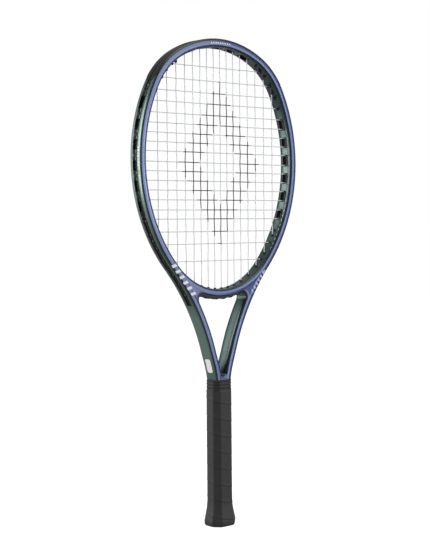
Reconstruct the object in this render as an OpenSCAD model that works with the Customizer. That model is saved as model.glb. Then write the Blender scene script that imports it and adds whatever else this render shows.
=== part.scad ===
/* [Head] */
// Overall length, butt end to bumper top
total_len = 691.4; // [680:0.1:700]
// Radius of the head's centre line over the top
top_r = 153.5; // [152.5:0.5:154.5]
// Radius of the centre line at the shoulders
shoulder_r = 104.5; // [103.5:0.5:105.5]
// Radius of the centre line along the sides
side_r = 225.5; // [224.5:0.5:226.5]
// Angle where the top arc meets the shoulder arc
top_end = 62; // [61.5:0.25:62.5]
// Angle where the shoulder arc meets the side arc
shoulder_end = 27; // [26.8:0.1:27.2]
// Angle where the side arc turns into the throat arm
side_end = -41; // [-41.2:0.1:-40.8]

/* [Beam] */
// Width of the frame tube across its face
rim_w = 11.5; // [11:0.1:12]
// Depth of the frame tube, front to back
rim_d = 24; // [22:0.5:26]
// Corner radius of the tube's section
rim_corner = 4.5; // [3.5:0.1:5]
// Wall of the moulded tube
wall = 1.8; // [1.6:0.1:2]
// Width of the grommet groove in the outer wall
groove_w = 9; // [8:0.5:10]
// Depth of the grommet groove
groove_d = 1.4; // [1.2:0.1:1.5]

/* [Throat] */
// Radius of each throat arm's centre line
arm_r = 325; // [323:1:327]
// Lean of the arm where it starts to straighten
arm_lean = 12.7; // [12.5:0.1:12.9]
// Radius that brings the arms side by side
neck_r = 133; // [132:1:134]
// Radius of the fillet between bridge and arm
corner_fillet = 7; // [5:0.5:9]

/* [Strings] */
// Radius of one string
string_r = 0.62; // [0.55:0.01:0.64]
// Half the weave's rise, centre line to string plane
weave = 0.68; // [0.66:0.01:0.7]
// Heights of the cross strings, top to bottom
cross_z = [651.3, 631.8, 614.9, 599.7, 583.8, 570, 556.7, 544, 531.4, 517,
    504.1, 491.1, 478, 464.7, 450.8, 438.2, 420.5, 403.2, 379];
// Distances of the main strings from the centre line
main_x = [6.1, 18.3, 30.8, 44, 58.6, 74, 90.4, 107.2];

/* [Ports and grommets] */
// Depth of a port's opening, front to back
port_depth = 7; // [6:0.5:7]
// Wall of a port liner
liner_wall = 0.9; // [0.7:0.1:0.9]
// Gap between a port's end wall and its string's centre
port_margin = 0.95; // [0.9:0.05:1.1]
// Length of the frame's tooth between two port liners
tooth = 4.3; // [4.2:0.1:4.4]
// Outer radius of a grommet barrel
barrel_r = 1.7; // [1.5:0.05:1.8]
// Bore radius of a grommet barrel
barrel_bore = 0.9; // [0.85:0.05:1]
// Thickness of the bumper over the frame
bumper_t = 0.9; // [0.8:0.1:1.2]
// How far the side strips stand out of the groove
strip_proud = 0.8; // [0.7:0.1:1]

/* [Handle] */
// Width of the grip across the face
grip_a = 34.6; // [34:0.1:36]
// Thickness of the grip, front to back
grip_b = 28.8; // [28:0.1:30]
// Corner cut of the grip's octagon
grip_cut = 7.7; // [7.2:0.1:8.2]
// Thickness of the grip wrap
wrap_t = 1.8; // [1.6:0.1:2]
// Height where the grip ends and the collar starts
grip_top = 195; // [190:1:197]
// Length of the rubber collar
collar_len = 15; // [12:1:16]
// Width added by the flare at the butt
flare = 8.8; // [7:0.2:9.4]

/* [Hidden] */
$fn = 96;

function dir(a) = [cos(a), sin(a)];
half_w = rim_w / 2;
// Arc centres in the XZ plane, each arc tangent to the one before
top_c = [0, total_len - bumper_t - half_w - top_r];
shoulder_c = top_c + (top_r - shoulder_r) * dir(top_end);
side_c = shoulder_c + (shoulder_r - side_r) * dir(shoulder_end);
fork = side_c + side_r * dir(side_end);
bridge_r = side_r + side_c[0] / cos(side_end);
bridge_c = fork - bridge_r * dir(side_end);
arm_c = fork + arm_r * dir(side_end);
arm_foot = arm_c - arm_r * dir(-arm_lean);
neck_c = arm_foot + neck_r * dir(-arm_lean);
neck = neck_c - [neck_r, 0];

// Levels across the tube, measured outward from its centre line
groove_floor = half_w - groove_d;
channel_floor = groove_floor + 0.7;
string_level = channel_floor + string_r + 0.08;
channel_w = 2.4;

// Points on the arcs at an offset from the centre line
function on_top(a, o) = top_c + (top_r + o) * dir(a);
function on_shoulder(a, o) = shoulder_c + (shoulder_r + o) * dir(a);
function on_side(a, o) = side_c + (side_r + o) * dir(a);
function on_bridge(a, o) = bridge_c + (bridge_r + o) * dir(a);
function on_arm(a, o) = arm_c - (arm_r - o) * dir(a);

// Angles at which strings meet the inner wall
function shoulder_angle_x(x) = acos((x - shoulder_c[0]) / (shoulder_r - half_w));
function shoulder_angle_z(z) = asin((z - shoulder_c[1]) / (shoulder_r - half_w));
function side_angle_x(x) = -acos((x - side_c[0]) / (side_r - half_w));
function side_angle_z(z) = asin((z - side_c[1]) / (side_r - half_w));
function top_angle_x(x) = acos(x / (top_r - half_w));
function bridge_angle_x(x) = -acos(x / (bridge_r - half_w));
shoulder_low = shoulder_c[1] + (shoulder_r - half_w) * sin(shoulder_end);
function cross_angle(z) = z > shoulder_low ? shoulder_angle_z(z) : side_angle_z(z);
function on_rim(z, a, o) = z > shoulder_low ? on_shoulder(a, o) : on_side(a, o);
function wall_x(z) = on_rim(z, cross_angle(z), -half_w)[0];

// Port pairs: crosses on each side by index, mains at the top by index
right_pairs = [4, 6, 8, 10, 12, 14];
left_pairs = [3, 5, 7, 9, 11, 13];
top_pairs = [1, 3];
function cz_angle(i) = side_angle_z(cross_z[i]);
function pair_mid(i) = (cz_angle(i) + cz_angle(i + 1)) / 2;
function tooth_mid(i) = (cz_angle(i - 1) + cz_angle(i)) / 2;
function top_mid(k) = (top_angle_x(main_x[k]) + top_angle_x(main_x[k + 1])) / 2;
tooth_half = tooth / 2 / side_r * 180 / PI;
function half_chord(r, a0, a1) = (r - half_w) * abs(a0 - a1) / 2 * PI / 180;

// Where the last three mains leave the arms, as angles on the arm's arc
arm_exits = [-32.8, -36.2, -39.2];
strip_foot = -29.8;

module rounded(w, d, r) {
    square([w - 2 * r, d], center = true);
    square([w, d - 2 * r], center = true);
    for (x = [-1, 1], y = [-1, 1]) translate([x * (w / 2 - r), y * (d / 2 - r)]) circle(r);
}
module octagon(a, b, c)
    polygon([[a / 2, b / 2 - c], [a / 2 - c, b / 2], [c - a / 2, b / 2], [-a / 2, b / 2 - c],
        [-a / 2, c - b / 2], [c - a / 2, -b / 2], [a / 2 - c, -b / 2], [a / 2, c - b / 2]]);

// Sweeps a section, drawn about the centre line, along an arc in the XZ plane
module along(c, r, a0, a1)
    translate([c[0], 0, c[1]]) rotate([90, 0, 0]) rotate([0, 0, a0])
        rotate_extrude(angle = a1 - a0) translate([r, 0]) children();
module along_arm(a0, a1)
    translate([arm_c[0], 0, arm_c[1]]) rotate([90, 0, 0]) rotate([0, 0, 180 + a0])
        rotate_extrude(angle = a1 - a0) translate([arm_r, 0]) mirror([1, 0]) children();
module both_sides() {
    children();
    mirror([1, 0, 0]) children();
}
// Sections across the tube: levels along X, depth along Y
module strip(lo, hi, d) translate([lo, -d / 2]) square([hi - lo, d]);
module tube_section() {
    difference() {
        rounded(rim_w, rim_d, rim_corner);
        translate([-groove_d / 2, 0])
            rounded(rim_w - 2 * wall - groove_d, rim_d - 2 * wall, 2.4);
    }
}
module grooved_section() {
    difference() {
        tube_section();
        strip(groove_floor, half_w + 2, groove_w);
    }
}
// What fills the groove, with a channel for the outside string
module filler_section(proud) {
    difference() {
        strip(groove_floor, half_w + proud, groove_w);
        strip(channel_floor, half_w + proud + 1, channel_w);
    }
}
module bumper_section() {
    difference() {
        union() {
            difference() {
                rounded(rim_w + 2 * bumper_t, rim_d + 2 * bumper_t, rim_corner + bumper_t);
                rounded(rim_w, rim_d, rim_corner);
                translate([2 - 20, -20]) square([20, 40]);
            }
            strip(groove_floor, half_w + 0.3, groove_w);
        }
        strip(channel_floor, half_w + bumper_t + 1, channel_w);
    }
}

// Prism that points along an angle in the XZ plane from a point
module aimed(p, a) translate([p[0], 0, p[1]]) rotate([0, 90 - a, 0]) rotate([0, 0, 90]) children();
module hole(p, a, r, len) aimed(p, a) translate([0, 0, -3]) cylinder(r = r, h = len + 3);
// A port through the rim: half its chord, its depth, and how far the box reaches either way
module port(p, a, half, grow, lo = -15, hi = 15)
    aimed(p, a) translate([-port_depth / 2 - grow, -half - port_margin - grow, lo])
        cube([port_depth + 2 * grow, 2 * (half + port_margin + grow), hi - lo]);
module side_ports(pairs, grow, lo = -15, hi = 15)
    for (i = pairs) port(on_side(pair_mid(i), 0), pair_mid(i),
        half_chord(side_r, cz_angle(i), cz_angle(i + 1)), grow, lo, hi);
module top_ports(grow, lo = -15, hi = 15) {
    port(on_top(90, 0), 90, main_x[0], grow, lo, hi);
    both_sides() for (k = top_pairs) port(on_top(top_mid(k), 0), top_mid(k),
        half_chord(top_r, top_angle_x(main_x[k]), top_angle_x(main_x[k + 1])), grow, lo, hi);
}

// Small grommet holes, listed as [inner point, angle, length to the groove's floor]
hole_len = half_w + groove_floor;
function rim_hole(z) = let (a = cross_angle(z)) [on_rim(z, a, -half_w), a, hole_len];
shoulder_holes = concat(
    [for (k = [5, 6, 7]) let (a = shoulder_angle_x(main_x[k])) [on_shoulder(a, -half_w), a, hole_len]],
    [for (i = [0, 1]) rim_hole(cross_z[i])]);
function high_holes(last) = [for (i = [2:last]) rim_hole(cross_z[i])];
function low_holes(first) = concat(
    [for (i = [first:18]) rim_hole(cross_z[i])],
    [for (k = [6, 7]) let (a = side_angle_x(main_x[k])) [on_side(a, -half_w), a, hole_len]]);
arm_holes = [for (k = [3, 4, 5]) let (p = on_bridge(bridge_angle_x(main_x[k]), -half_w),
    q = on_arm(arm_exits[k - 3], groove_floor)) [p, atan2(q[1] - p[1], q[0] - p[0]), norm(q - p)]];
bridge_holes = [for (k = [0, 1, 2]) let (a = bridge_angle_x(main_x[k])) [on_bridge(a, -half_w), a, hole_len]];
module barrels(holes, nose = 1.2)
    for (h = holes) aimed(h[0], h[1]) translate([0, 0, -nose])
        cylinder(r = barrel_r, h = h[2] + nose + 0.35);
module bores(holes, r = barrel_bore)
    for (h = holes) aimed(h[0], h[1]) translate([0, 0, -4]) cylinder(r = r, h = h[2] + 8);

frame_blue = "#3f5580";
guard_black = "#1a1b1d";

// The moulded tube, in stretches that abut
module crown_tube() color(frame_blue) difference() {
    along(top_c, top_r, top_end, 180 - top_end) grooved_section();
    top_ports(liner_wall);
}
module shoulder_tube_right() color(frame_blue) difference() {
    along(shoulder_c, shoulder_r, shoulder_end, top_end) grooved_section();
    bores(shoulder_holes, barrel_r);
}
module shoulder_tube_left() mirror([1, 0, 0]) shoulder_tube_right();
module side_tube(pairs, last_high, first_low) color(frame_blue) difference() {
    along(side_c, side_r, side_end, shoulder_end) tube_section();
    for (g = groove_stretches(pairs)) along(side_c, side_r, g[0], g[1])
        strip(groove_floor, half_w + 2, groove_w);
    along(side_c, side_r, side_end, shoulder_end) strip(channel_floor, half_w + 2, channel_w);
    side_ports(pairs, liner_wall);
    bores(concat(high_holes(last_high), low_holes(first_low)), barrel_r);
}
// Groove of one side between its teeth: the upper strip, one stretch a port, the lower strip
function groove_stretches(pairs) = concat([high_stretch(pairs)],
    [for (i = pairs) liner_stretch(i)], [low_stretch(pairs)]);
function high_stretch(pairs) = [tooth_mid(pairs[0]) + tooth_half, shoulder_end];
function liner_stretch(i) = [tooth_mid(i + 2) + tooth_half, tooth_mid(i) - tooth_half];
function low_stretch(pairs) = [side_end, tooth_mid(pairs[5] + 2) - tooth_half];
module side_tube_right() side_tube(right_pairs, 3, 16);
module side_tube_left() mirror([1, 0, 0]) side_tube(left_pairs, 2, 15);

module along_neck(a0 = -arm_lean, a1 = 0)
    translate([neck_c[0], 0, neck_c[1]]) rotate([90, 0, 0]) rotate([0, 0, 180 + a0])
        rotate_extrude(angle = a1 - a0) translate([neck_r, 0]) mirror([1, 0]) children();
module throat_arm_right() color(frame_blue) difference() {
    along_arm(side_end, -arm_lean) tube_section();
    along_arm(side_end, strip_foot) strip(groove_floor, half_w + 2, groove_w);
    bores(arm_holes, barrel_r);
}
module throat_arm_left() mirror([1, 0, 0]) throat_arm_right();

// Inside the handle each tube steps down to a slimmer tang
tang_w = 7.6;
tang_d = 14.4;
tang_foot = 20;
tang_x = neck[0] - half_w + 0.2 + tang_w / 2;
tang_edge = tang_x + tang_w / 2;
module shaft_tube_right() color(frame_blue) {
    along_neck() tube_section();
    difference() {
        union() {
            translate([neck[0], 0, neck[1] - 1.5]) linear_extrude(3)
                rounded(rim_w - 0.2, rim_d - 0.2, rim_corner - 0.1);
            translate([tang_x, 0, tang_foot]) linear_extrude(neck[1] - tang_foot)
                rounded(tang_w, tang_d, 3);
        }
        translate([tang_x, 0, tang_foot - 1]) linear_extrude(neck[1] - tang_foot + 5)
            rounded(tang_w - 3, tang_d - 3, 1.5);
    }
}
module shaft_tube_left() mirror([1, 0, 0]) shaft_tube_right();

// Centre of the fillet circle that touches the bridge and the arm
function meet(c0, r0, c1, r1) =
    let (d = norm(c1 - c0), u = (c1 - c0) / d, k = (d * d + r0 * r0 - r1 * r1) / (2 * d),
        h = sqrt(r0 * r0 - k * k))
    c0 + k * u + h * [u[1], -u[0]];
fillet_c = meet(bridge_c, bridge_r + half_w + corner_fillet, arm_c, arm_r + half_w + corner_fillet);
bridge_start = side_end - 3.5;
// Stretch of the bridge that carries its grommet strip, and how far the strip stands out
// between its blocks and at them
bridge_strip = [-112, -68];
bridge_rest = 2.4;
bridge_proud = 3.4;
module throat_bridge() color(frame_blue) difference() {
    union() {
        along(bridge_c, bridge_r, -180 - bridge_start, bridge_start) rounded(rim_w, rim_d, rim_corner);
        both_sides() fillet_wedge();
    }
    along(bridge_c, bridge_r, bridge_strip[0], bridge_strip[1])
        strip(groove_floor, half_w + bridge_proud + 1, groove_w);
    // The arms pass through; the cut runs past the front and back faces
    both_sides() along_arm(side_end, -arm_lean) rounded(rim_w, rim_d + 1, rim_corner);
    both_sides() bores(arm_holes, barrel_r);
    both_sides() bores(bridge_holes, barrel_r);
}
module fillet_wedge() {
    on_b = bridge_c + (bridge_r + half_w - 1) * (fillet_c - bridge_c) / norm(fillet_c - bridge_c);
    on_a = arm_c + (arm_r + half_w - 1) * (fillet_c - arm_c) / norm(fillet_c - arm_c);
    tip = on_bridge(side_end - 18, 0);
    translate([0, rim_d / 2 - 1.5, 0]) rotate([90, 0, 0]) linear_extrude(rim_d - 3) difference() {
        polygon([on_b, tip, on_a, fillet_c]);
        translate(fillet_c) circle(corner_fillet);
    }
}

web_r = 5.9;
web_top = 222.3;
module shaft_web() color(frame_blue)
    translate([0, rim_d / 2 - 1.2, 0]) rotate([90, 0, 0]) linear_extrude(rim_d - 2.4) difference() {
        translate([-8, neck[1]]) square([16, web_top - neck[1]]);
        translate([0, web_top]) circle(web_r);
        for (s = [-1, 1]) translate([s * neck_c[0], neck_c[1]]) circle(neck_r + half_w, $fn = 720);
    }

module bumper_guard() color(guard_black) {
    difference() {
        along(top_c, top_r, top_end, 180 - top_end) bumper_section();
        top_ports(liner_wall);
    }
    both_sides() difference() {
        union() {
            along(shoulder_c, shoulder_r, shoulder_end, top_end) bumper_section();
            barrels(shoulder_holes);
        }
        bores(shoulder_holes);
    }
}

// Port liners: boxes through the wall, on the sides joined to flanges that fill the groove
lip = 0.6;
module top_port_liners() color(guard_black) difference() {
    top_ports(liner_wall, -half_w - lip, groove_floor + 0.3);
    top_ports(0);
}
module side_liners(pairs) color(guard_black) difference() {
    union() {
        side_ports(pairs, liner_wall, -half_w - lip, groove_floor + 0.3);
        for (i = pairs) along(side_c, side_r, liner_stretch(i)[0], liner_stretch(i)[1])
            filler_section(strip_proud);
    }
    side_ports(pairs, 0);
}
module side_port_liners_right() side_liners(right_pairs);
module side_port_liners_left() mirror([1, 0, 0]) side_liners(left_pairs);

// Grommet strips: one above the ports, one from below them down the throat arm
module side_strips(pairs, last_high, first_low) color(guard_black) {
    holed_strip(high_stretch(pairs), high_holes(last_high));
    holed_strip(low_stretch(pairs), low_holes(first_low));
    difference() {
        union() {
            along_arm(side_end, strip_foot) filler_section(strip_proud);
            barrels(arm_holes);
        }
        bores(arm_holes);
    }
}
module holed_strip(stretch, holes) difference() {
    union() {
        along(side_c, side_r, stretch[0], stretch[1]) filler_section(strip_proud);
        barrels(holes);
    }
    bores(holes);
}
module side_grommet_strip_right() side_strips(right_pairs, 3, 16);
module side_grommet_strip_left() mirror([1, 0, 0]) side_strips(left_pairs, 2, 15);

module bridge_grommet_strip() color(guard_black) difference() {
    union() {
        along(bridge_c, bridge_r, bridge_strip[0], bridge_strip[1]) filler_section(bridge_rest);
        both_sides() for (h = bridge_holes) along(bridge_c, bridge_r, h[1] - 2.1, h[1] + 2.1)
            filler_section(bridge_proud);
        both_sides() barrels(bridge_holes);
    }
    both_sides() bores(bridge_holes);
}

// String paths: points [x, y, z]
function flat(p) = [p[0], 0, p[1]];
function joined(lists) = [for (l = lists, p = l) p];
function over(i, k) = ((i + k) % 2 == 0 ? 1 : -1) * weave;
// One main from its lower to its upper wall, weaving past each cross that reaches it
function main_run(k, low) = concat(
    [flat(low)],
    [for (i = [18:-1:0]) if (main_x[k] < wall_x(cross_z[i]) - 1) [main_x[k], over(i, k), cross_z[i]]],
    [flat(main_top(k))]);
function main_top(k) = k < 5 ? on_top(top_angle_x(main_x[k]), -half_w)
    : on_shoulder(shoulder_angle_x(main_x[k]), -half_w);
function main_low(k) = k < 6 ? on_bridge(bridge_angle_x(main_x[k]), -half_w)
    : on_side(side_angle_x(main_x[k]), -half_w);
wall_run = half_w + string_level;
function top_aim(k) = k == 0 ? 90 : k < 5 ? top_mid(k - (k + 1) % 2) : shoulder_angle_x(main_x[k]);
function top_out(k) = main_top(k) + wall_run * dir(top_aim(k));
function low_out(k) = k < 3 ? on_bridge(bridge_angle_x(main_x[k]), string_level)
    : k < 6 ? on_arm(arm_exits[k - 3], string_level) : on_side(side_angle_x(main_x[k]), string_level);
function low_turn(k) = k == 2 ? [for (t = [0.33, 0.67]) flat(on_bridge(
        bridge_angle_x(main_x[1]) * (1 - t) + bridge_angle_x(main_x[2]) * t, string_level))]
    : k == 4 ? [for (t = [0.33, 0.67]) flat(on_arm(arm_exits[0] * (1 - t) + arm_exits[1] * t, string_level))]
    : [flat(on_arm(side_end, string_level))];
function top_turn(k) = k < 4 ? [flat(on_top(mid(top_angle_x(main_x[k]), top_angle_x(main_x[k - 1])), string_level))]
    : k == 5 ? [flat(on_top(top_end, string_level))]
    : [flat(on_shoulder(mid(shoulder_angle_x(main_x[k]), shoulder_angle_x(main_x[k - 1])), string_level))];
function mid(a, b) = (a + b) / 2;
function reversed(l) = [for (i = [len(l) - 1:-1:0]) l[i]];
// Half of the mains strand: from the centre of the bridge out to the tie-off
half_mains = joined([for (k = [0:7]) k % 2 == 0
    ? concat(k == 0 ? [] : low_turn(k), [flat(low_out(k))], main_run(k, main_low(k)), [flat(top_out(k))])
    : concat(top_turn(k), [flat(top_out(k))], reversed(main_run(k, main_low(k))), [flat(low_out(k))])]);
function mirrored(l) = [for (p = l) [-p[0], -p[1], p[2]]];
mains_path = concat(reversed(mirrored(half_mains)), [flat(on_bridge(-90, string_level))], half_mains);

// Aim of a cross where it passes the frame: along its port, or square to the wall
function port_of(i, pairs) = [for (p = pairs) if (i == p || i == p + 1) pair_mid(p)];
function cross_aim(i, pairs) = len(port_of(i, pairs)) > 0 ? port_of(i, pairs)[0] : cross_angle(cross_z[i]);
function cross_in(i) = on_rim(cross_z[i], cross_angle(cross_z[i]), -half_w);
function cross_out(i, pairs) = cross_in(i) + wall_run * dir(cross_aim(i, pairs));
function xs(p, s) = [s * p[0], 0, p[1]];
function cross_turn(i, s) = let (a = cross_angle(cross_z[i]), b = cross_angle(cross_z[i + 1]))
    [xs(on_rim(cross_z[i + 1] + 8, (a + b) / 2, string_level), s)];
function woven(i) = [for (m = [-8:8]) if (m != 0) let (k = abs(m) - 1)
    if (main_x[k] < wall_x(cross_z[i]) - 1)
        [sign(m) * main_x[k], -sign(m) * over(i, k), cross_z[i]]];
function cross_run(i) = concat([xs(cross_out(i, left_pairs), -1), xs(cross_in(i), -1)], woven(i),
    [xs(cross_in(i), 1), xs(cross_out(i, right_pairs), 1)]);
// Even crosses run right to left, so that turns alternate: left first, then right
cross_path = joined([for (i = [0:18]) concat(i % 2 == 0 ? reversed(cross_run(i)) : cross_run(i),
    i == 18 ? [] : cross_turn(i, i % 2 == 0 ? -1 : 1))]);

sides = 6;
function unit(v) = v / norm(v);
function ring(path, i) = let (
    n = len(path),
    t0 = unit(path[max(i, 1)] - path[max(i, 1) - 1]),
    t1 = unit(path[min(i, n - 2) + 1] - path[min(i, n - 2)]),
    t = unit(t0 + t1),
    side = unit(cross([0, 1, 0], t)),
    depth = cross(t, side),
    stretch = min(1 / max(t0 * t, 0.5), 1.6))
    [for (s = [0:sides - 1]) let (a = 360 * (s + 0.5) / sides)
        path[i] + string_r * (cos(a) * stretch * side + sin(a) * depth)];
module strand(path) {
    n = len(path);
    polyhedron(points = joined([for (i = [0:n - 1]) ring(path, i)]),
        faces = concat([[for (s = [0:sides - 1]) s]],
            [[for (s = [sides - 1:-1:0]) (n - 1) * sides + s]],
            joined([for (i = [0:n - 2], s = [0:sides - 1]) let (
                a = i * sides + s, b = i * sides + (s + 1) % sides)
                [[a, a + sides, b], [b, a + sides, b + sides]]])));
}
module mains_string() color("#dfe3e6") strand(mains_path);
module cross_string() color("#dfe3e6") strand(cross_path);

knot_r = 1.15;
module string_knots() color("#dfe3e6") {
    both_sides() knot(on_side(side_angle_x(main_x[7]), string_level + 0.4));
    knot(cross_out(0, right_pairs) + 0.4 * dir(cross_aim(0, right_pairs)));
    mirror([1, 0, 0]) knot(cross_out(18, left_pairs) + 0.4 * dir(cross_aim(18, left_pairs)));
}
module knot(p) translate([p[0], 0, p[1]]) sphere(knot_r);

pallet_foot = 8;
pallet_a = grip_a - 2 * wrap_t;
pallet_b = grip_b - 2 * wrap_t;
pallet_cut = grip_cut - 0.59 * wrap_t;
module pallet() color("#c9b98a") difference() {
    translate([0, 0, pallet_foot]) linear_extrude(grip_top - pallet_foot - 1) intersection() {
        octagon(pallet_a, pallet_b, pallet_cut);
        translate([-40, -80]) square(80);
    }
    translate([0, 0, pallet_foot - 1]) linear_extrude(200) square([2 * tang_edge, tang_d], center = true);
}
module handle_pallet_front() pallet();
module handle_pallet_back() mirror([0, 1, 0]) pallet();
module handle_foam_core() color("#8f8a7c")
    translate([0, 0, 105]) cube([2 * (tang_x - tang_w / 2), tang_d, 160], center = true);

cap_top = 30;
wrap_foot = 2;
// Butt flare: the full width at the lip, easing to the grip's own width
module flare_shape(grow) {
    wide = flare + 2 * grow;
    hull() {
        flare_slice(wrap_foot, wide - 1.6);
        flare_slice(6, wide);
    }
    hull() {
        flare_slice(6, wide);
        flare_slice(9, wide - 0.4);
    }
    hull() {
        flare_slice(9, wide - 0.4);
        flare_slice(19, wide * 0.45 + grow * 1.1);
    }
    hull() {
        flare_slice(19, wide * 0.45 + grow * 1.1);
        flare_slice(cap_top, 2 * grow);
    }
}
module flare_slice(z, more) translate([0, 0, z])
    linear_extrude(0.01) octagon(grip_a + more, grip_b + more, grip_cut + 0.3 * more);
door_a = 24;
door_b = 17;
module butt_cap() color(guard_black) difference() {
    union() {
        intersection() {
            flare_shape(-wrap_t);
            translate([-40, -40, 0]) cube([80, 80, cap_top]);
        }
        linear_extrude(wrap_foot + 0.5) octagon(grip_a + flare - 3.6, grip_b + flare - 3.6, grip_cut + 2);
    }
    translate([0, 0, pallet_foot - 0.1]) linear_extrude(cap_top) octagon(pallet_a, pallet_b, pallet_cut);
    translate([0, 0, -1]) linear_extrude(pallet_foot + 2) rounded(door_a + 0.6, door_b + 0.6, 3.3);
    staple_recess();
}
module butt_trap_door() color("#232527") difference() {
    union() {
        linear_extrude(2) rounded(door_a, door_b, 3);
        for (x = [-1, 1]) translate([x * (door_a / 2 - 3) - 0.8, -3, 0]) cube([1.6, 6, 7]);
    }
    translate([0, 0, -0.01]) linear_extrude(0.5) rounded(8, 1.6, 0.79);
}
staple_z = 17;
module staple_recess() for (y = [-1, 1]) translate([0, y * 16.5, staple_z]) cube([9.2, 7, 1.2], center = true);
module butt_staples() color("silver") for (y = [-1, 1]) translate([0, y * 13.5, staple_z]) {
    cube([9, 0.8, 1], center = true);
    for (x = [-4, 4]) translate([x, -y * 1.2, 0]) cube([1, 2.6, 1], center = true);
}

module grip_wrap() color("#26272a") difference() {
    union() {
        flare_shape(0);
        translate([0, 0, cap_top - 0.5]) linear_extrude(grip_top - cap_top + 0.5) octagon(grip_a, grip_b, grip_cut);
    }
    flare_shape(-wrap_t);
    linear_extrude(wrap_foot + 0.5) octagon(grip_a + flare - 3.6, grip_b + flare - 3.6, grip_cut + 2);
    translate([0, 0, pallet_foot - 0.1]) linear_extrude(200) octagon(pallet_a, pallet_b, pallet_cut);
}
tape_t = 0.3;
module finishing_tape() color("#1d1e20") translate([0, 0, grip_top - 12]) linear_extrude(12) difference() {
    octagon(grip_a + 2 * tape_t, grip_b + 2 * tape_t, grip_cut + 0.59 * tape_t);
    octagon(grip_a, grip_b, grip_cut);
}
rib_gap = 3;
collar_a = 35;
collar_b = 28.4;
collar_corner = 6.5;
module grip_collar() color("#18191a") difference() {
    union() {
        translate([0, 0, grip_top]) linear_extrude(collar_len) rounded(collar_a, collar_b, collar_corner);
        for (z = [0:rib_gap:collar_len - 1.5]) translate([0, 0, grip_top + z])
            linear_extrude(1.6) rounded(collar_a + 1.2, collar_b + 1.2, collar_corner + 0.6);
    }
    translate([0, 0, neck[1] - 2]) linear_extrude(30) rounded(2 * (neck[0] + half_w) + 1.2, rim_d + 0.1, rim_corner);
    translate([0, 0, grip_top - 1]) linear_extrude(30) rounded(2 * tang_edge, tang_d, 2.9);
}
label_t = 0.15;
// The label keeps the shaft's curve where it runs on past the foot of the arm
module blank_label() color("white") mirror([1, 0, 0])
    along_neck(-16.9, -8.8) strip(half_w, half_w + label_t, rim_d - 2 * rim_corner - 4);

crown_tube();
shoulder_tube_left();
shoulder_tube_right();
side_tube_left();
side_tube_right();
throat_arm_left();
throat_arm_right();
shaft_tube_left();
shaft_tube_right();
throat_bridge();
shaft_web();
bumper_guard();
top_port_liners();
side_port_liners_left();
side_port_liners_right();
side_grommet_strip_left();
side_grommet_strip_right();
bridge_grommet_strip();
mains_string();
cross_string();
string_knots();
handle_pallet_front();
handle_pallet_back();
handle_foam_core();
butt_cap();
butt_trap_door();
butt_staples();
grip_wrap();
finishing_tape();
grip_collar();
blank_label();
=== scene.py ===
"""Tennis racket: the visible frame, strings, grommets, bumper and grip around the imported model."""

import math

import bmesh
import bpy
from mathutils import Matrix, Vector
from mathutils.kdtree import KDTree


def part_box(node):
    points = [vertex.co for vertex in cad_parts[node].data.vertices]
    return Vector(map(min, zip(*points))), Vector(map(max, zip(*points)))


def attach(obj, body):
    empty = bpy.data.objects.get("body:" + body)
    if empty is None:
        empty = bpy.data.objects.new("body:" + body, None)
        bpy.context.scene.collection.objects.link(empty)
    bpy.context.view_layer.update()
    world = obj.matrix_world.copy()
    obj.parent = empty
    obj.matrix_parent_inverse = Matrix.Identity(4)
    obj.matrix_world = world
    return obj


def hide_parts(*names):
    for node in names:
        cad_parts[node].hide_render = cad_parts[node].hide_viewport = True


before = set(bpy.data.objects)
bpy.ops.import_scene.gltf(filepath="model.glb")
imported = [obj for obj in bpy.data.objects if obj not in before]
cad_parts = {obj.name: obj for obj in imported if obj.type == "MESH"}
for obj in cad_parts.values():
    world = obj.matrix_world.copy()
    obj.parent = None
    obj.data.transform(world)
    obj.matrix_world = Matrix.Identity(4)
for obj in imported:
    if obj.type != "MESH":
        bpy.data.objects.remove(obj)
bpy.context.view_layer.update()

MM = 0.001
BODY = "racket"
DOOR = "trap_door"

# ---------------- driving sizes, millimetres
TOTAL_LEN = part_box("bumper_guard")[1].z / MM
FRAME_TOP = 690.5
BUMPER_T = TOTAL_LEN - FRAME_TOP

# The frame's centre line: radii of its arcs, and the angles in degrees where one arc meets the next
TOP_R, SHOULDER_R, SIDE_R, ARM_R, NECK_R = 153.5, 104.5, 225.5, 325.0, 133.0
TOP_END, SHOULDER_END, SIDE_END, ARM_LEAN = 62.0, 27.0, -41.0, 12.7
CORNER_FILLET = 7.0
WEB_R, WEB_TOP = 5.9, 222.3
NECK_TAPER, NECK_TAPER_TOP = 2.5, 247.0

# The tube's section, and the groove along its outer wall
RIM_W, RIM_D = 11.5, 24.0
HALF_W, HALF_D = RIM_W / 2, RIM_D / 2
GROOVE_W, GROOVE_D = 9.0, 1.4
STRIP_PROUD = 0.8
CHANNEL_W = 2.4

# Strings: how far each rises over the ones it crosses, and where they lie
STRING_R, MAIN_WEAVE, CROSS_WEAVE = 0.62, 0.34, 0.96
MAIN_X = [6.1, 18.3, 30.8, 44, 58.6, 74, 90.4, 107.2]
CROSS_Z = [651.3, 631.8, 614.9, 599.7, 583.8, 570, 556.7, 544, 531.4, 517,
           504.1, 491.1, 478, 464.7, 450.8, 438.2, 420.5, 403.2, 379]
LAST_CROSS = len(CROSS_Z) - 1
ARM_EXITS = [-32.8, -36.2, -39.2]

# Ports: the first cross of each pair at a side port, and the first main of each pair at a top port
RIGHT_PAIRS = [4, 6, 8, 10, 12, 14]
LEFT_PAIRS = [3, 5, 7, 9, 11, 13]
TOP_PAIRS = [1, 3]
PORT_HALF_DEPTH, PORT_CORNER, PORT_MARGIN = 4.4, 1.6, 0.8
LINER_WALL = 0.6
TOOTH = 4.3
STRIP_FOOT = -29.8
BRIDGE_STRIP = (-112.0, -68.0)

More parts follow.
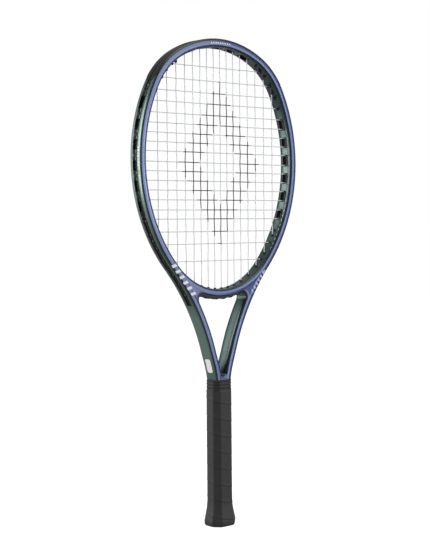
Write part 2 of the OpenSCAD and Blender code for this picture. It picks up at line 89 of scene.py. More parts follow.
# Grip: across the flats, and its cut corners
GRIP_A, GRIP_B, GRIP_CUT = 34.6, 28.8, 7.7
GRIP_TOP, COLLAR_LEN = 195.0, 15.0
COLLAR_TOP = GRIP_TOP + COLLAR_LEN
WRAP_PITCH, WRAP_START = 23.5, 37.0
DOOR_A, DOOR_B = 24.0, 17.0

# Levels across the tube, outward from its centre line
GROOVE_FLOOR = HALF_W - GROOVE_D
CHANNEL_FLOOR = GROOVE_FLOOR + 0.7
STRING_LEVEL = CHANNEL_FLOOR + STRING_R + 0.08
WALL_RUN = HALF_W + STRING_LEVEL


def direction(degrees):
    a = math.radians(degrees)
    return Vector((math.cos(a), math.sin(a)))


def across(n):
    """A quarter turn on from a direction."""
    return Vector((-n.y, n.x))


def mirror(p):
    return Vector((-p.x, p.y))


class Arc:
    """A stretch of centre line in the XZ plane. `side` is -1 where its centre lies outside the head."""

    def __init__(self, centre, radius, side=1):
        self.centre, self.radius, self.side = centre, radius, side

    def point(self, angle, offset=0.0):
        return self.centre + (self.side * self.radius + offset) * direction(angle)

    def at(self, angle):
        """A station: the point and its outward normal."""
        return self.point(angle), direction(angle)

    def inner_angle_x(self, x):
        return math.degrees(math.acos((x - self.centre.x) / (self.radius - HALF_W)))

    def inner_angle_z(self, z):
        return math.degrees(math.asin((z - self.centre.y) / (self.radius - HALF_W)))


TOP = Arc(Vector((0, FRAME_TOP - HALF_W - TOP_R)), TOP_R)
SHOULDER = Arc(TOP.centre + (TOP_R - SHOULDER_R) * direction(TOP_END), SHOULDER_R)
SIDE = Arc(SHOULDER.centre + (SHOULDER_R - SIDE_R) * direction(SHOULDER_END), SIDE_R)
FORK = SIDE.point(SIDE_END)
BRIDGE_R = SIDE_R + SIDE.centre.x / math.cos(math.radians(SIDE_END))
BRIDGE = Arc(FORK - BRIDGE_R * direction(SIDE_END), BRIDGE_R)
ARM = Arc(FORK + ARM_R * direction(SIDE_END), ARM_R, -1)
ARM_FOOT = ARM.point(-ARM_LEAN)
NECK = Arc(ARM_FOOT + NECK_R * direction(-ARM_LEAN), NECK_R, -1)
NECK_X, NECK_Z = NECK.point(0)
SHOULDER_LOW = SHOULDER.point(SHOULDER_END, -HALF_W).y
TOOTH_HALF = math.degrees(TOOTH / 2 / SIDE_R)


def cross_rim(i):
    """The arc and angle where a cross meets the right inner wall."""
    arc = SHOULDER if CROSS_Z[i] > SHOULDER_LOW else SIDE
    return arc, arc.inner_angle_z(CROSS_Z[i])


def side_angle(i):
    return SIDE.inner_angle_z(CROSS_Z[i])


def pair_mid(i):
    return (side_angle(i) + side_angle(i + 1)) / 2


def tooth_mid(i):
    return (side_angle(i - 1) + side_angle(i)) / 2


# ---------------- mesh helpers
def add(name, data):
    """A new object in the scene."""
    obj = bpy.data.objects.new(name, data)
    bpy.context.scene.collection.objects.link(obj)
    return obj


def build_mesh(name, verts, faces, smooth_angle=35.0, attributes=None):
    """An object from millimetre vertices, with outward normals and smooth shading up to an angle."""
    mesh = bpy.data.meshes.new(name)
    mesh.from_pydata([Vector(v) * MM for v in verts], [], faces)
    for key, values in (attributes or {}).items():
        mesh.attributes.new(key, "FLOAT", "POINT").data.foreach_set("value", values)
    obj = add(name, mesh)
    bm = bmesh.new()
    bm.from_mesh(mesh)
    bmesh.ops.recalc_face_normals(bm, faces=bm.faces)
    bm.to_mesh(mesh)
    bm.free()
    shade(obj, smooth_angle)
    return obj


def shade(obj, angle):
    mesh = obj.data
    mesh.polygons.foreach_set("use_smooth", [True] * len(mesh.polygons))
    mesh.set_sharp_from_angle(angle=math.radians(angle))


def loft(name, rings, closed_path=False, smooth_angle=35.0, attributes=None):
    """Skins rings of equally many points. An open path gets a cap at each end."""
    n, count = len(rings[0]), len(rings)
    verts = [p for ring in rings for p in ring]
    faces = []
    for i in range(count if closed_path else count - 1):
        a, b = i * n, (i + 1) % count * n
        for j in range(n):
            k = (j + 1) % n
            faces.append((a + j, a + k, b + k, b + j))
    if not closed_path:
        faces.append(tuple(range(n)))
        faces.append(tuple(range((count - 1) * n, count * n)))
    return build_mesh(name, verts, faces, smooth_angle, attributes)


def join(name, objs):
    """Several meshes as one object."""
    for o in bpy.context.selected_objects:
        o.select_set(False)
    for o in objs:
        o.select_set(True)
    bpy.context.view_layer.objects.active = objs[0]
    bpy.ops.object.join()
    objs[0].name = name
    objs[0].data.name = name
    return objs[0]


def cut(obj, cutter, smooth_angle=35.0):
    """Takes the cutter's volume out of obj and keeps the result as obj's own mesh."""
    modifier = obj.modifiers.new("cut", "BOOLEAN")
    modifier.operation, modifier.solver, modifier.object = "DIFFERENCE", "EXACT", cutter
    evaluated = obj.evaluated_get(bpy.context.evaluated_depsgraph_get())
    mesh = bpy.data.meshes.new_from_object(evaluated)
    obj.modifiers.clear()
    obj.data = mesh
    bpy.data.objects.remove(cutter)
    shade(obj, smooth_angle)


def mirror_copy(obj, name):
    """The piece's twin on the other side of the racket."""
    mesh = obj.data.copy()
    mesh.transform(Matrix.Diagonal((-1, 1, 1, 1)))
    mesh.flip_normals()
    return add(name, mesh)


def place(obj, slot, material, *nodes, body=BODY):
    """Material, ride, slot and the CAD nodes that the piece stands for; slot is not used."""
    obj.data.materials.clear()
    obj.data.materials.append(material)
    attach(obj, body)
    if nodes:
        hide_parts(*nodes)
    return obj


# ---------------- outlines and stations along the frame
def angles(a0, a1, radius, step=2.0):
    """Evenly spaced angles, about `step` millimetres apart along the arc, both ends included."""
    count = max(2, math.ceil(abs(math.radians(a1 - a0)) * radius / step))
    return [a0 + (a1 - a0) * i / count for i in range(count + 1)]


def with_steps(span, marks, clear, edge):
    """The angles, with a close pair round each mark instead of those near it, for the steps of the groove."""
    kept = [a for a in span if all(abs(a - m) > clear for m in marks)]
    return kept + [m + s * edge for m in marks for s in (-1, 1)]


def stations(arc, a0, a1, step=1.5):
    return [arc.at(a) for a in angles(a0, a1, arc.radius, step)]


def flip(station):
    p, n = station
    return mirror(p), mirror(n)


def mirrored(holes):
    """Holes or ports, as (point, angle, ...), on the other side of the racket."""
    return [(mirror(p), 180 - a, *rest) for p, a, *rest in holes]


def ring_at(station, section):
    """A section of (outward, depth) points, set across the frame at a station."""
    p, n = station
    return [(p.x + u * n.x, v, p.y + u * n.y) for u, v in section]


def sweep(name, path, section, smooth_angle=35.0):
    """section is a list of points or a function of the station's index."""
    make = section if callable(section) else lambda i: section
    return loft(name, [ring_at(s, make(i)) for i, s in enumerate(path)], smooth_angle=smooth_angle)


def both_halves(half):
    """A closed section from its half at positive depth, whose first point lies on the middle plane."""
    return half + [(u, -v) for u, v in half[:0:-1]]


def arc_run(cx, cy, rx, ry, a0, a1, count):
    """Points along an ellipse's quarter or less."""
    out = []
    for i in range(count + 1):
        a = math.radians(a0 + (a1 - a0) * i / count)
        out.append((cx + rx * math.cos(a), cy + ry * math.sin(a)))
    return out


def circle(count):
    return [(math.cos(math.tau * i / count), math.sin(math.tau * i / count)) for i in range(count)]


def bend(p, corner, q, steps):
    """A short curve from p to q that rounds the corner between them."""
    shares = [i / steps for i in range(steps + 1)]
    return [p * (1 - t) ** 2 + corner * 2 * t * (1 - t) + q * t * t for t in shares]


def rounded_outline(half_a, half_b, radius, steps):
    outline = []
    for sx, sy, start in ((1, 1, 0), (-1, 1, 90), (-1, -1, 180), (1, -1, 270)):
        outline += arc_run(sx * (half_a - radius), sy * (half_b - radius), radius, radius,
                           start, start + 90, steps)
    return outline


# ---------------- the moulded frame
# The front face is a flat strip with a slight bow between two elliptical corners
STRIP_IN, STRIP_OUT = -2.85, 3.2
INNER_EDGE, OUTER_EDGE = 6.5, 7.5
FACE_LEVEL, FACE_BOW = HALF_D - 0.15, 0.6
CORNER_STEPS, FACE_STEPS = 7, 6

# The band attribute runs round the section: 0 on the inner wall, BAND_IN to BAND_OUT over the strip,
# 1 in the groove of the outer wall
BAND_IN, BAND_OUT, BAND_CORNER = 0.4, 0.6, 0.15
# The yoke takes the strip's blue: the arm's inner corner between the fork and YOKE_FOOT, and the bridge's
# outer corner further than YOKE_SPAN degrees from its middle
INNER_CORNER, OUTER_CORNER = (0.24, 0.44), (0.56, 0.76)
YOKE_BAND, BRIDGE_BAND = 0.47, 0.53
YOKE_FOOT, YOKE_SPAN = -33.5, 27


def half_section(groove):
    """(outward, depth, band) from the middle of the inner wall to the middle of the outer wall."""
    points = [(-HALF_W, 0, 0.0), (-HALF_W, 3.2, 0.11), (-HALF_W, INNER_EDGE - 0.6, 0.22)]
    corner = arc_run(STRIP_IN, INNER_EDGE, HALF_W + STRIP_IN, FACE_LEVEL - INNER_EDGE, 180, 90, CORNER_STEPS)
    points += [(u, v, 0.25 + BAND_CORNER * i / CORNER_STEPS) for i, (u, v) in enumerate(corner)]
    for i in range(1, FACE_STEPS):
        t = i / FACE_STEPS
        points.append((STRIP_IN + (STRIP_OUT - STRIP_IN) * t, FACE_LEVEL + FACE_BOW * t * (1 - t),
                       BAND_IN + 0.2 * t))
    corner = arc_run(STRIP_OUT, OUTER_EDGE, HALF_W - STRIP_OUT, FACE_LEVEL - OUTER_EDGE, 90, 0, CORNER_STEPS)
    points += [(u, v, BAND_OUT + BAND_CORNER * i / CORNER_STEPS) for i, (u, v) in enumerate(corner)]
    edge, floor = GROOVE_W / 2, HALF_W - groove
    points += [(HALF_W, edge + 0.5, 0.86), (HALF_W, edge, 0.9)]
    return points + [(floor, edge - 0.02, 0.92), (floor, 0, 1.0)]


def full_section(groove):
    """Closed section and its band values, round from the inner wall over the back and the front."""
    back = half_section(groove)
    loop = back + [(u, -v, b) for u, v, b in back[-2:0:-1]]
    return [(u, v) for u, v, _ in loop], [b for _, _, b in loop]


def groove_stretches(pairs):
    """Where the groove runs along the side: above the ports, along each port, below them."""
    high = (tooth_mid(pairs[0]) + TOOTH_HALF, SHOULDER_END)
    low = (SIDE_END, tooth_mid(pairs[-1] + 2) - TOOTH_HALF)
    return [high] + [(tooth_mid(i + 2) + TOOTH_HALF, tooth_mid(i) - TOOTH_HALF) for i in pairs] + [low]


def drawn_in(station):
    """The shafts lean a little closer together where they enter the collar."""
    p, n = station
    t = min(1.0, max(0.0, (NECK_TAPER_TOP - p.y) / (NECK_TAPER_TOP - COLLAR_TOP)))
    return Vector((p.x - NECK_TAPER * t, p.y)), n


def half_hoop(pairs):
    """Rows down the right half of the frame: (station, groove depth, whether it belongs to the yoke)."""
    grooved = groove_stretches(pairs)
    marks = [a for stretch in grooved for a in stretch][1:-1]
    side = with_steps(angles(SHOULDER_END, SIDE_END, SIDE_R), marks, 0.15, 0.05)
    arm = with_steps(angles(SIDE_END, -ARM_LEAN, ARM_R)[1:], [STRIP_FOOT], 0.1, 0.05)
    rows = [(TOP.at(a), GROOVE_D, False) for a in angles(90, TOP_END, TOP_R)]
    rows += [(SHOULDER.at(a), GROOVE_D, False) for a in angles(TOP_END, SHOULDER_END, SHOULDER_R)[1:]]
    for a in sorted(side, reverse=True)[1:]:
        rows.append((SIDE.at(a), GROOVE_D if any(lo <= a <= hi for lo, hi in grooved) else 0.0, False))
    for a in sorted(arm):
        rows.append((drawn_in(ARM.at(a)), GROOVE_D if a < STRIP_FOOT else 0.0, a < YOKE_FOOT))
    rows += [(drawn_in(NECK.at(a)), 0.0, False) for a in angles(-ARM_LEAN, 0, NECK_R)[1:]]
    return rows + [(drawn_in((Vector((NECK_X, NECK_Z - 3)), direction(0))), 0.0, False)]


def half_chord(arc, a0, a1):
    return (arc.radius - HALF_W) * math.radians(abs(a0 - a1)) / 2


def side_port(i):
    """(point, angle, half length) of the port for crosses i and i + 1."""
    half = half_chord(SIDE, side_angle(i), side_angle(i + 1)) + PORT_MARGIN
    return SIDE.point(pair_mid(i)), pair_mid(i), half


def top_angle(k):
    return TOP.inner_angle_x(MAIN_X[k])


def top_mid(k):
    return (top_angle(k) + top_angle(k + 1)) / 2


def top_port_list():
    ports = [(TOP.point(90), 90.0, MAIN_X[0] + PORT_MARGIN)]
    for k in TOP_PAIRS:
        half = half_chord(TOP, top_angle(k), top_angle(k + 1)) + PORT_MARGIN
        port = (TOP.point(top_mid(k)), top_mid(k), half)
        ports += [port] + mirrored([port])
    return ports


RIGHT_PORTS = [side_port(i) for i in RIGHT_PAIRS]
LEFT_PORTS = mirrored([side_port(i) for i in LEFT_PAIRS])
TOP_PORTS = top_port_list()
CUT_GROW = LINER_WALL - 0.1


def port_ring(p, a, half, grow, level):
    """A port's rounded outline, grown all round, at a level outward from the centre line."""
    n = direction(a)
    t = across(n)
    outline = rounded_outline(half + grow, PORT_HALF_DEPTH + grow, PORT_CORNER + grow, 5)
    return [(p.x + s * t.x + level * n.x, d, p.y + s * t.y + level * n.y) for s, d in outline]


def port_cutter(ports, grow):
    reach = 14
    return join("cutter", [loft("cutter", [port_ring(*port, grow, level) for level in (-reach, reach)])
                           for port in ports])


def make_hoop(paint):
    """The one moulded tube: over the head, down both arms, side by side into the handle."""
    left = [(flip(station), groove, yoke) for station, groove, yoke in half_hoop(LEFT_PAIRS)]
    rings, bands = [], []
    for station, groove, yoke in left[::-1] + half_hoop(RIGHT_PAIRS)[1:]:
        section, band = full_section(groove)
        rings.append(ring_at(station, section))
        bands += [YOKE_BAND if yoke and INNER_CORNER[0] < b < INNER_CORNER[1] else b for b in band]
    hoop = loft("frame_hoop", rings, smooth_angle=32, attributes={"band": bands})
    tree = KDTree(len(bands))
    for i, v in enumerate(hoop.data.vertices):
        tree.insert(v.co, i)
    tree.balance()
    cut(hoop, port_cutter(LEFT_PORTS + RIGHT_PORTS + TOP_PORTS, CUT_GROW), 32)
    # Every vertex takes the band of the nearest one before the cut
    mesh = hoop.data
    layer = mesh.attributes.get("band") or mesh.attributes.new("band", "FLOAT", "POINT")
    layer.data.foreach_set("value", [bands[tree.find(v.co)[1]] for v in mesh.vertices])
    return place(hoop, "frame_paint", paint, "crown_tube", "shoulder_tube_left", "shoulder_tube_right",
                 "side_tube_left", "side_tube_right", "throat_arm_left", "throat_arm_right",
                 "shaft_tube_left", "shaft_tube_right")


def meet(c0, r0, c1, r1):
    """The lower right crossing of two circles."""
    d = (c1 - c0).length
    u = (c1 - c0) / d
    k = (d * d + r0 * r0 - r1 * r1) / (2 * d)
    h = math.sqrt(r0 * r0 - k * k)
    return c0 + k * u + h * Vector((u.y, -u.x))


FILLET_C = meet(BRIDGE.centre, BRIDGE_R + HALF_W + CORNER_FILLET, ARM.centre, ARM_R + HALF_W + CORNER_FILLET)
YOKE_TIP = meet(BRIDGE.centre, BRIDGE_R + STRIP_OUT, ARM.centre, ARM_R - STRIP_IN)


def gusset(name, centre, radius, a0, a1, target):
    """A filled corner between two tubes: a hollow curve at its foot, and flush faces that run back to
    the target point of each step. Its band goes from the corner's navy to the strip's blue."""
    steps = 20
    half = [(0.0, 0.0, 0.95), (0.0, 3.7, 0.9), (0.0, OUTER_EDGE - 0.3, 0.78)]
    half += [(2.6 - 2.6 * math.cos(math.radians(t)), OUTER_EDGE + 4.35 * math.sin(math.radians(t)),
              0.75 - 0.15 * t / 90) for t in (0, 15, 30, 45, 60, 75, 90)]
    rings, bands = [], []
    for i in range(steps + 1):
        t = i / steps
        n = direction(a0 + (a1 - a0) * t)
        foot = centre + radius * n
        edge, goal = foot + half[-1][0] * n, target(t)
        rows = [(foot + u * n, v, b) for u, v, b in half]
        rows += [(edge.lerp(goal, s), HALF_D - 0.12, BAND_OUT - 0.1 * min(1, 2.5 * s))
                 for s in (0.15, 0.4, 0.7, 1.0)]
        rows += [(p, -v, b) for p, v, b in rows[:0:-1]]
        rings.append([(p.x, v, p.y) for p, v, _ in rows])
        bands += [b for _, _, b in rows]
    return loft(name, rings, smooth_angle=40, attributes={"band": bands})


def make_bridge(paint):
    """The throat bridge with its yoke corners."""
    rings, bands = [], []
    for a in sorted(with_steps(angles(-180 - SIDE_END, SIDE_END, BRIDGE_R), BRIDGE_STRIP, 0.15, 0.06)):
        section, band = full_section(GROOVE_D if BRIDGE_STRIP[0] < a < BRIDGE_STRIP[1] else 0.0)
        near_arm = abs(a + 90) > YOKE_SPAN
        rings.append(ring_at(BRIDGE.at(a), section))
        bands += [BRIDGE_BAND if near_arm and OUTER_CORNER[0] < b < OUTER_CORNER[1] else b for b in band]
    bow = loft("bow", rings, smooth_angle=32, attributes={"band": bands})
    to_bridge = BRIDGE.centre - FILLET_C
    to_arm = ARM.centre - FILLET_C
    a0 = math.degrees(math.atan2(to_bridge.y, to_bridge.x))
    a1 = math.degrees(math.atan2(to_arm.y, to_arm.x))
    right = gusset("yoke", FILLET_C, CORNER_FILLET, a0, a1 if a1 < a0 else a1 - 360, lambda t: YOKE_TIP)
    bridge = join("throat_bridge_shell", [bow, right, mirror_copy(right, "yoke_left")])
    return place(bridge, "frame_paint", paint, "throat_bridge")


def make_web(paint):
    """The web that joins the two shafts above the collar."""
    low = COLLAR_TOP - 10
    web = gusset("shaft_web_shell", Vector((0, WEB_TOP)), WEB_R, 186, 354,
                 lambda t: Vector(((2 * t - 1) * (NECK_X - 1), low)))
    return place(web, "frame_paint", paint, "shaft_web")


# ---------------- black trim
# Barrels: how far they stand out of the wall and reach back into it, and their radii
NOSE, NOSE_FOOT, NOSE_R, NOSE_BORE = 1.9, 0.4, 1.95, 0.78
LONG_NOSE = (6.0, 3.6)
PAD_HALF, PAD_PROUD = 2.6, 0.55
# The guard's edge, in depth, at its end in the groove and at its full wrap
GUARD_NARROW, GUARD_WIDE = 4.8, 12.0
GUARD_TAPER, GUARD_THIN = 7.0, 0.45
# A strip's end stops this many degrees short of the step in the groove
END_GAP = 0.02


def filler_section(proud):
    """What fills the groove, with a channel for the string that runs outside."""
    w, c, r = GROOVE_W / 2 - 0.05, CHANNEL_W / 2, 0.35
    top = HALF_W + proud
    return both_halves([(CHANNEL_FLOOR, 0), (CHANNEL_FLOOR, c), (top - 0.2, c + 0.12), (top, c + 0.35),
                        (top, w - r), (top - r * 0.3, w - r * 0.3), (top - r, w), (GROOVE_FLOOR - 0.2, w)])


def bumper_section(reach, t):
    """Shell over the rim's outer wall, t thick. reach runs from 1, the full wrap, to 0, the groove alone."""
    edge = GUARD_NARROW + (GUARD_WIDE - GUARD_NARROW) * reach
    half = [(CHANNEL_FLOOR, 0), (CHANNEL_FLOOR, 1.2), (HALF_W + t - 0.35, 1.35), (HALF_W + t, 1.75)]
    shell = [(HALF_W + t, 4.0)]
    shell += arc_run(STRIP_OUT - 0.2, OUTER_EDGE, HALF_W + t - STRIP_OUT + 0.2,
                     HALF_D + 0.3 - OUTER_EDGE, 0, 82, 10)
    shell += arc_run(STRIP_OUT, OUTER_EDGE, HALF_W - STRIP_OUT - 0.2, HALF_D - 0.35 - OUTER_EDGE, 82, 0, 8)
    shell += [(HALF_W - 0.2, 4.4), (GROOVE_FLOOR - 0.1, 4.3)]
    return both_halves(half + [(u, min(v, edge)) for u, v in shell])


def barrel(p, a, nose, foot):
    """A grommet's nose on a wall: a short tube with a rounded lip, aimed along an angle."""
    n = direction(a)
    t = across(n)
    profile = [(NOSE_R, foot), (NOSE_R, -nose + 0.35), (NOSE_R - 0.12, -nose + 0.12), (NOSE_R - 0.4, -nose),
               (NOSE_BORE + 0.1, -nose), (NOSE_BORE, -nose + 0.15), (NOSE_BORE, foot)]
    rings = []
    for r, level in profile:
        points = [(p + level * n + r * c * t, r * s) for c, s in circle(20)]
        rings.append([(q.x, depth, q.y) for q, depth in points])
    return loft("barrel", rings, closed_path=True, smooth_angle=50)


def noses(holes, nose=NOSE, foot=NOSE_FOOT):
    """A barrel at each hole; LONG_NOSE gives the ones on the shoulders, in line with their strings."""
    return [barrel(p, a, nose, foot) for p, a in holes]


# Holes on the inner wall: (point, angle of the wall). Mains count out from the middle, crosses down
def hole_on(arc, a):
    return arc.point(a, -HALF_W), a


def cross_hole(i):
    return hole_on(*cross_rim(i))


def main_head(k):
    arc = TOP if k < 5 else SHOULDER
    return hole_on(arc, arc.inner_angle_x(MAIN_X[k]))


def main_foot(k):
    arc = BRIDGE if k < 6 else SIDE
    return hole_on(arc, -arc.inner_angle_x(MAIN_X[k]))


def shoulder_holes():
    """Points on the shoulder's inner wall, each with the direction of its string."""
    return [(main_head(k)[0], 90.0) for k in (5, 6, 7)] + [(cross_hole(i)[0], 0.0) for i in (0, 1)]


def make_bumper(material):
    """The bumper guard over the head's top, tapered where it ends on the shoulders."""
    def row(arc, a):
        reach = min(1.0, max(0.0, (a - SHOULDER_END) / GUARD_TAPER))
        rise = max(0.0, (a - TOP_END) / (90 - TOP_END))
        return arc.at(a), reach, GUARD_THIN + (BUMPER_T - GUARD_THIN) * rise

    right = [row(TOP, a) for a in angles(90, TOP_END, TOP_R)]
    right += [row(SHOULDER, a) for a in angles(TOP_END, SHOULDER_END, SHOULDER_R, 1.2)[1:]]
    rows = [(flip(s), reach, t) for s, reach, t in right[::-1]] + right[1:]
    shell = sweep("bumper_shell", [row[0] for row in rows], lambda i: bumper_section(*rows[i][1:]), 40)
    cut(shell, port_cutter(TOP_PORTS, CUT_GROW), 40)
    holes = shoulder_holes()
    shell = join("bumper_shell", [shell] + noses(holes + mirrored(holes), *LONG_NOSE))
    return place(shell, "guard_nylon", material, "bumper_guard")


def liner(p, a, half):
    """A port's sleeve: a rolled lip on the inner wall and a straight throat that ends in the groove."""
    lip, top = -HALF_W, GROOVE_FLOOR + 0.3
    profile = [(0.0, lip + 0.2), (0.0, lip - 0.35), (0.22, lip - 0.6), (0.62, lip - 0.6), (0.9, lip - 0.35),
               (0.95, lip + 0.35), (LINER_WALL, lip + 0.5), (LINER_WALL, top), (0.0, top)]
    return loft("liner", [port_ring(p, a, half, *row) for row in profile], closed_path=True, smooth_angle=50)


def place_side(parts, name, left, material, node):
    """Joins a side's parts, and swaps them for their mirror image when they belong on the left."""
    piece = join(name, parts)
    if left:
        source = piece
        source.name = name + "_source"
        piece = mirror_copy(source, name)
        bpy.data.objects.remove(source)
    return place(piece, "guard_nylon", material, node)


def make_side_liners(name, pairs, left, material, node):
    """The sleeves of one side and the flanges that join them in the groove, open at each port."""
    ports = [side_port(i) for i in pairs]
    flanges = [sweep("flange", stations(SIDE, lo + END_GAP, hi - END_GAP), filler_section(STRIP_PROUD), 40)
               for lo, hi in groove_stretches(pairs)[1:-1]]
    plates = join("plates", flanges)
    cut(plates, port_cutter(ports, 0.0), 40)
    return place_side([plates] + [liner(*port) for port in ports], name, left, material, node)


def make_top_liners(material):
    piece = join("top_liner_sleeves", [liner(*port) for port in TOP_PORTS])
    return place(piece, "guard_nylon", material, "top_port_liners")


def pads(arc, hole_angles):
    """Raised pads on a strip, one at each hole, with a soft start and end."""
    turn = math.degrees(PAD_HALF / arc.radius)
    low, high = STRIP_PROUD - 0.1, STRIP_PROUD + PAD_PROUD
    steps = [(-1.0, low), (-0.6, high), (0.6, high), (1.0, low)]
    return [sweep("pad", [arc.at(a + s * turn) for s, _ in steps], lambda i: filler_section(steps[i][1]), 30)
            for a in hole_angles]


def make_side_strips(name, pairs, left, material, node):
    """The grommet strips above and below the ports, the lower one running on down the arm."""
    stretches = groove_stretches(pairs)
    high, low = stretches[0], stretches[-1]
    runs = [stations(SIDE, high[0] + END_GAP, high[1] + 0.6),
            stations(SIDE, low[1] - END_GAP, SIDE_END) + stations(ARM, SIDE_END, STRIP_FOOT)[1:]]
    above = [cross_hole(i) for i in range(2, pairs[0])]
    below = [cross_hole(i) for i in range(pairs[-1] + 2, LAST_CROSS + 1)] + [main_foot(k) for k in (6, 7)]
    parts = [sweep("strip", run, filler_section(STRIP_PROUD), 40) for run in runs]
    parts += noses(below + [main_foot(k) for k in (3, 4, 5)])
    parts += noses([(p, 0.0) for p, _ in above], *LONG_NOSE)
    parts += pads(SIDE, [a for _, a in above + below]) + pads(ARM, ARM_EXITS)
    return place_side(parts, name, left, material, node)


def make_bridge_strip(material):
    """The strip under the bridge, with a block at each string."""
    holes = [main_foot(k) for k in (0, 1, 2)]
    centres = [c for _, a in holes for c in (a, -180 - a)]
    span = angles(*BRIDGE_STRIP, BRIDGE_R, 0.6)

    def section(i):
        nearest = min(abs(span[i] - c) for c in centres)
        return filler_section(2.3 + 1.0 * math.exp(-(nearest / 1.6) ** 4))

    strip = sweep("strip", [BRIDGE.at(a) for a in span], section, 35)
    piece = join("bridge_strip_shell", [strip] + noses(holes + mirrored(holes)))
    return place(piece, "guard_nylon", material, "bridge_grommet_strip")


# ---------------- strings
STRING_SIDES = 8
WEAVE_STEP, TURN_STEP = 2.4, 3
KNOT_TURNS, KNOT_STEPS, KNOT_STRING_R = 3, 42, 0.42


def flat(p, side=1):
    """A point of the XZ plane as a point in space, on the other side of the racket for side = -1."""
    return Vector((side * p.x, 0, p.y))


def over(i, k):
    return 1 if (i + k) % 2 == 0 else -1


def weave_through(points):
    """Fills in between crossings with a cosine rise and fall, every two or three millimetres."""
    out = [points[0]]
    for p, q in zip(points, points[1:]):
        count = max(2, round((q - p).length / WEAVE_STEP))
        for i in range(1, count + 1):
            t = i / count
            r = p.lerp(q, t)
            r.y = p.y + (q.y - p.y) * ((1 - math.cos(math.pi * t)) / 2)
            out.append(r)
    return out


def channel_run(arc, a0, a1):
    """Along the channel outside an arc."""
    return [flat(arc.point(a, STRING_LEVEL)) for a in angles(a0, a1, arc.radius, TURN_STEP)]


def onto_channel(r, arc):
    return arc.centre + (arc.radius + STRING_LEVEL) * (r - arc.centre).normalized()


def top_aim(k):
    """The direction in which main k leaves through its hole or port at the top."""
    if k == 0:
        return 90.0
    return top_mid(k - (k + 1) % 2) if k < 5 else main_head(k)[1]


def main_run(k):
    """A main's woven length, bottom to top."""
    x = MAIN_X[k]
    crossings = [Vector((x, over(i, k) * MAIN_WEAVE, CROSS_Z[i])) for i in range(LAST_CROSS, -1, -1)
                 if x < cross_hole(i)[0].x - 1]
    return weave_through([flat(main_foot(k)[0])] + crossings + [flat(main_head(k)[0])])


def low_turn(k):
    """Outside the frame from the foot of main k - 1 to the foot of main k."""
    if k == 2:
        return channel_run(BRIDGE, main_foot(1)[1], main_foot(2)[1])
    if k == 4:
        return channel_run(ARM, ARM_EXITS[0], ARM_EXITS[1])
    return channel_run(ARM, ARM_EXITS[2], SIDE_END) + channel_run(SIDE, SIDE_END, main_foot(6)[1])[1:]


def top_turn(k):
    """Outside the frame from the head of main k - 1 to the head of main k."""
    p, q = (main_head(j)[0] + WALL_RUN * direction(top_aim(j)) for j in (k - 1, k))
    steps = [p.lerp(q, t) for t in (0.0, 0.25, 0.5, 0.75, 1.0)]
    return [flat(onto_channel(r, TOP if r.x < TOP.point(TOP_END).x else SHOULDER)) for r in steps]


def half_mains():
    """From the centre of the bridge out to the tie-off on the side."""
    path = channel_run(BRIDGE, -90, main_foot(0)[1])
    for k in range(len(MAIN_X)):
        if k % 2:
            path += top_turn(k) + main_run(k)[::-1]
        else:
            path += (low_turn(k) if k else []) + main_run(k)
    return path + [flat(SIDE.point(main_foot(7)[1], STRING_LEVEL))]


def cross_aim(i, pairs):
    """The direction in which cross i leaves through its hole or port on the right."""
    found = [pair_mid(p) for p in pairs if i in (p, p + 1)]
    return found[0] if found else cross_hole(i)[1]


def cross_end(i, pairs):
    """Where cross i comes out into the channel on the right."""
    return cross_hole(i)[0] + WALL_RUN * direction(cross_aim(i, pairs))


def cross_run(i):
    """A cross from its outer end on the left to its outer end on the right."""
    wall = cross_hole(i)[0]
    woven = [Vector((s * x, -s * over(i, k) * CROSS_WEAVE, CROSS_Z[i])) for s in (-1, 1)
             for k, x in enumerate(MAIN_X) if x < wall.x - 1]
    woven.sort(key=lambda p: p.x)
    inner = weave_through([flat(wall, -1)] + woven + [flat(wall)])
    return [flat(cross_end(i, LEFT_PAIRS), -1)] + inner + [flat(cross_end(i, RIGHT_PAIRS))]


def cross_turn(i, side):
    """Outside the frame from cross i to the next, on the left for side = -1."""
    p, q = (cross_end(c, LEFT_PAIRS if side < 0 else RIGHT_PAIRS) for c in (i, i + 1))
    steps = [p.lerp(q, t) for t in (0.25, 0.5, 0.75)]
    border = SHOULDER.point(SHOULDER_END).y
    return [flat(onto_channel(r, SHOULDER if r.y > border else SIDE), side) for r in steps]


def cross_path():
    path = []
    for i in range(LAST_CROSS + 1):
        run = cross_run(i)
        path += run if i % 2 else run[::-1]
        if i < LAST_CROSS:
            path += cross_turn(i, 1 if i % 2 else -1)
    return path


def soften(path, reach=1.1, limit=25.0):
    """Rounds each turn sharper than `limit` degrees with a short curve."""
    path = [p for i, p in enumerate(path) if i == 0 or (p - path[i - 1]).length > 0.25]
    out = [path[0]]
    for a, b, c in zip(path, path[1:], path[2:]):
        d0, d1 = a - b, c - b
        if 180 - math.degrees(d0.angle(d1)) < limit:
            out.append(b)
            continue
        out += bend(b + d0 * min(reach / d0.length, 0.45), b, b + d1 * min(reach / d1.length, 0.45), 4)
    return out + [path[-1]]


def tube_rings(path, radius):
    """Rings carried along a path without twist."""
    rings = []
    up = None
    for i, p in enumerate(path):
        t = (path[min(i + 1, len(path) - 1)] - path[max(i - 1, 0)]).normalized()
        if up is None:
            up = t.orthogonal().normalized()
        up = (up - t * up.dot(t)).normalized()
        side = t.cross(up)
        rings.append([tuple(p + radius * (c * up + s * side)) for c, s in circle(STRING_SIDES)])
    return rings


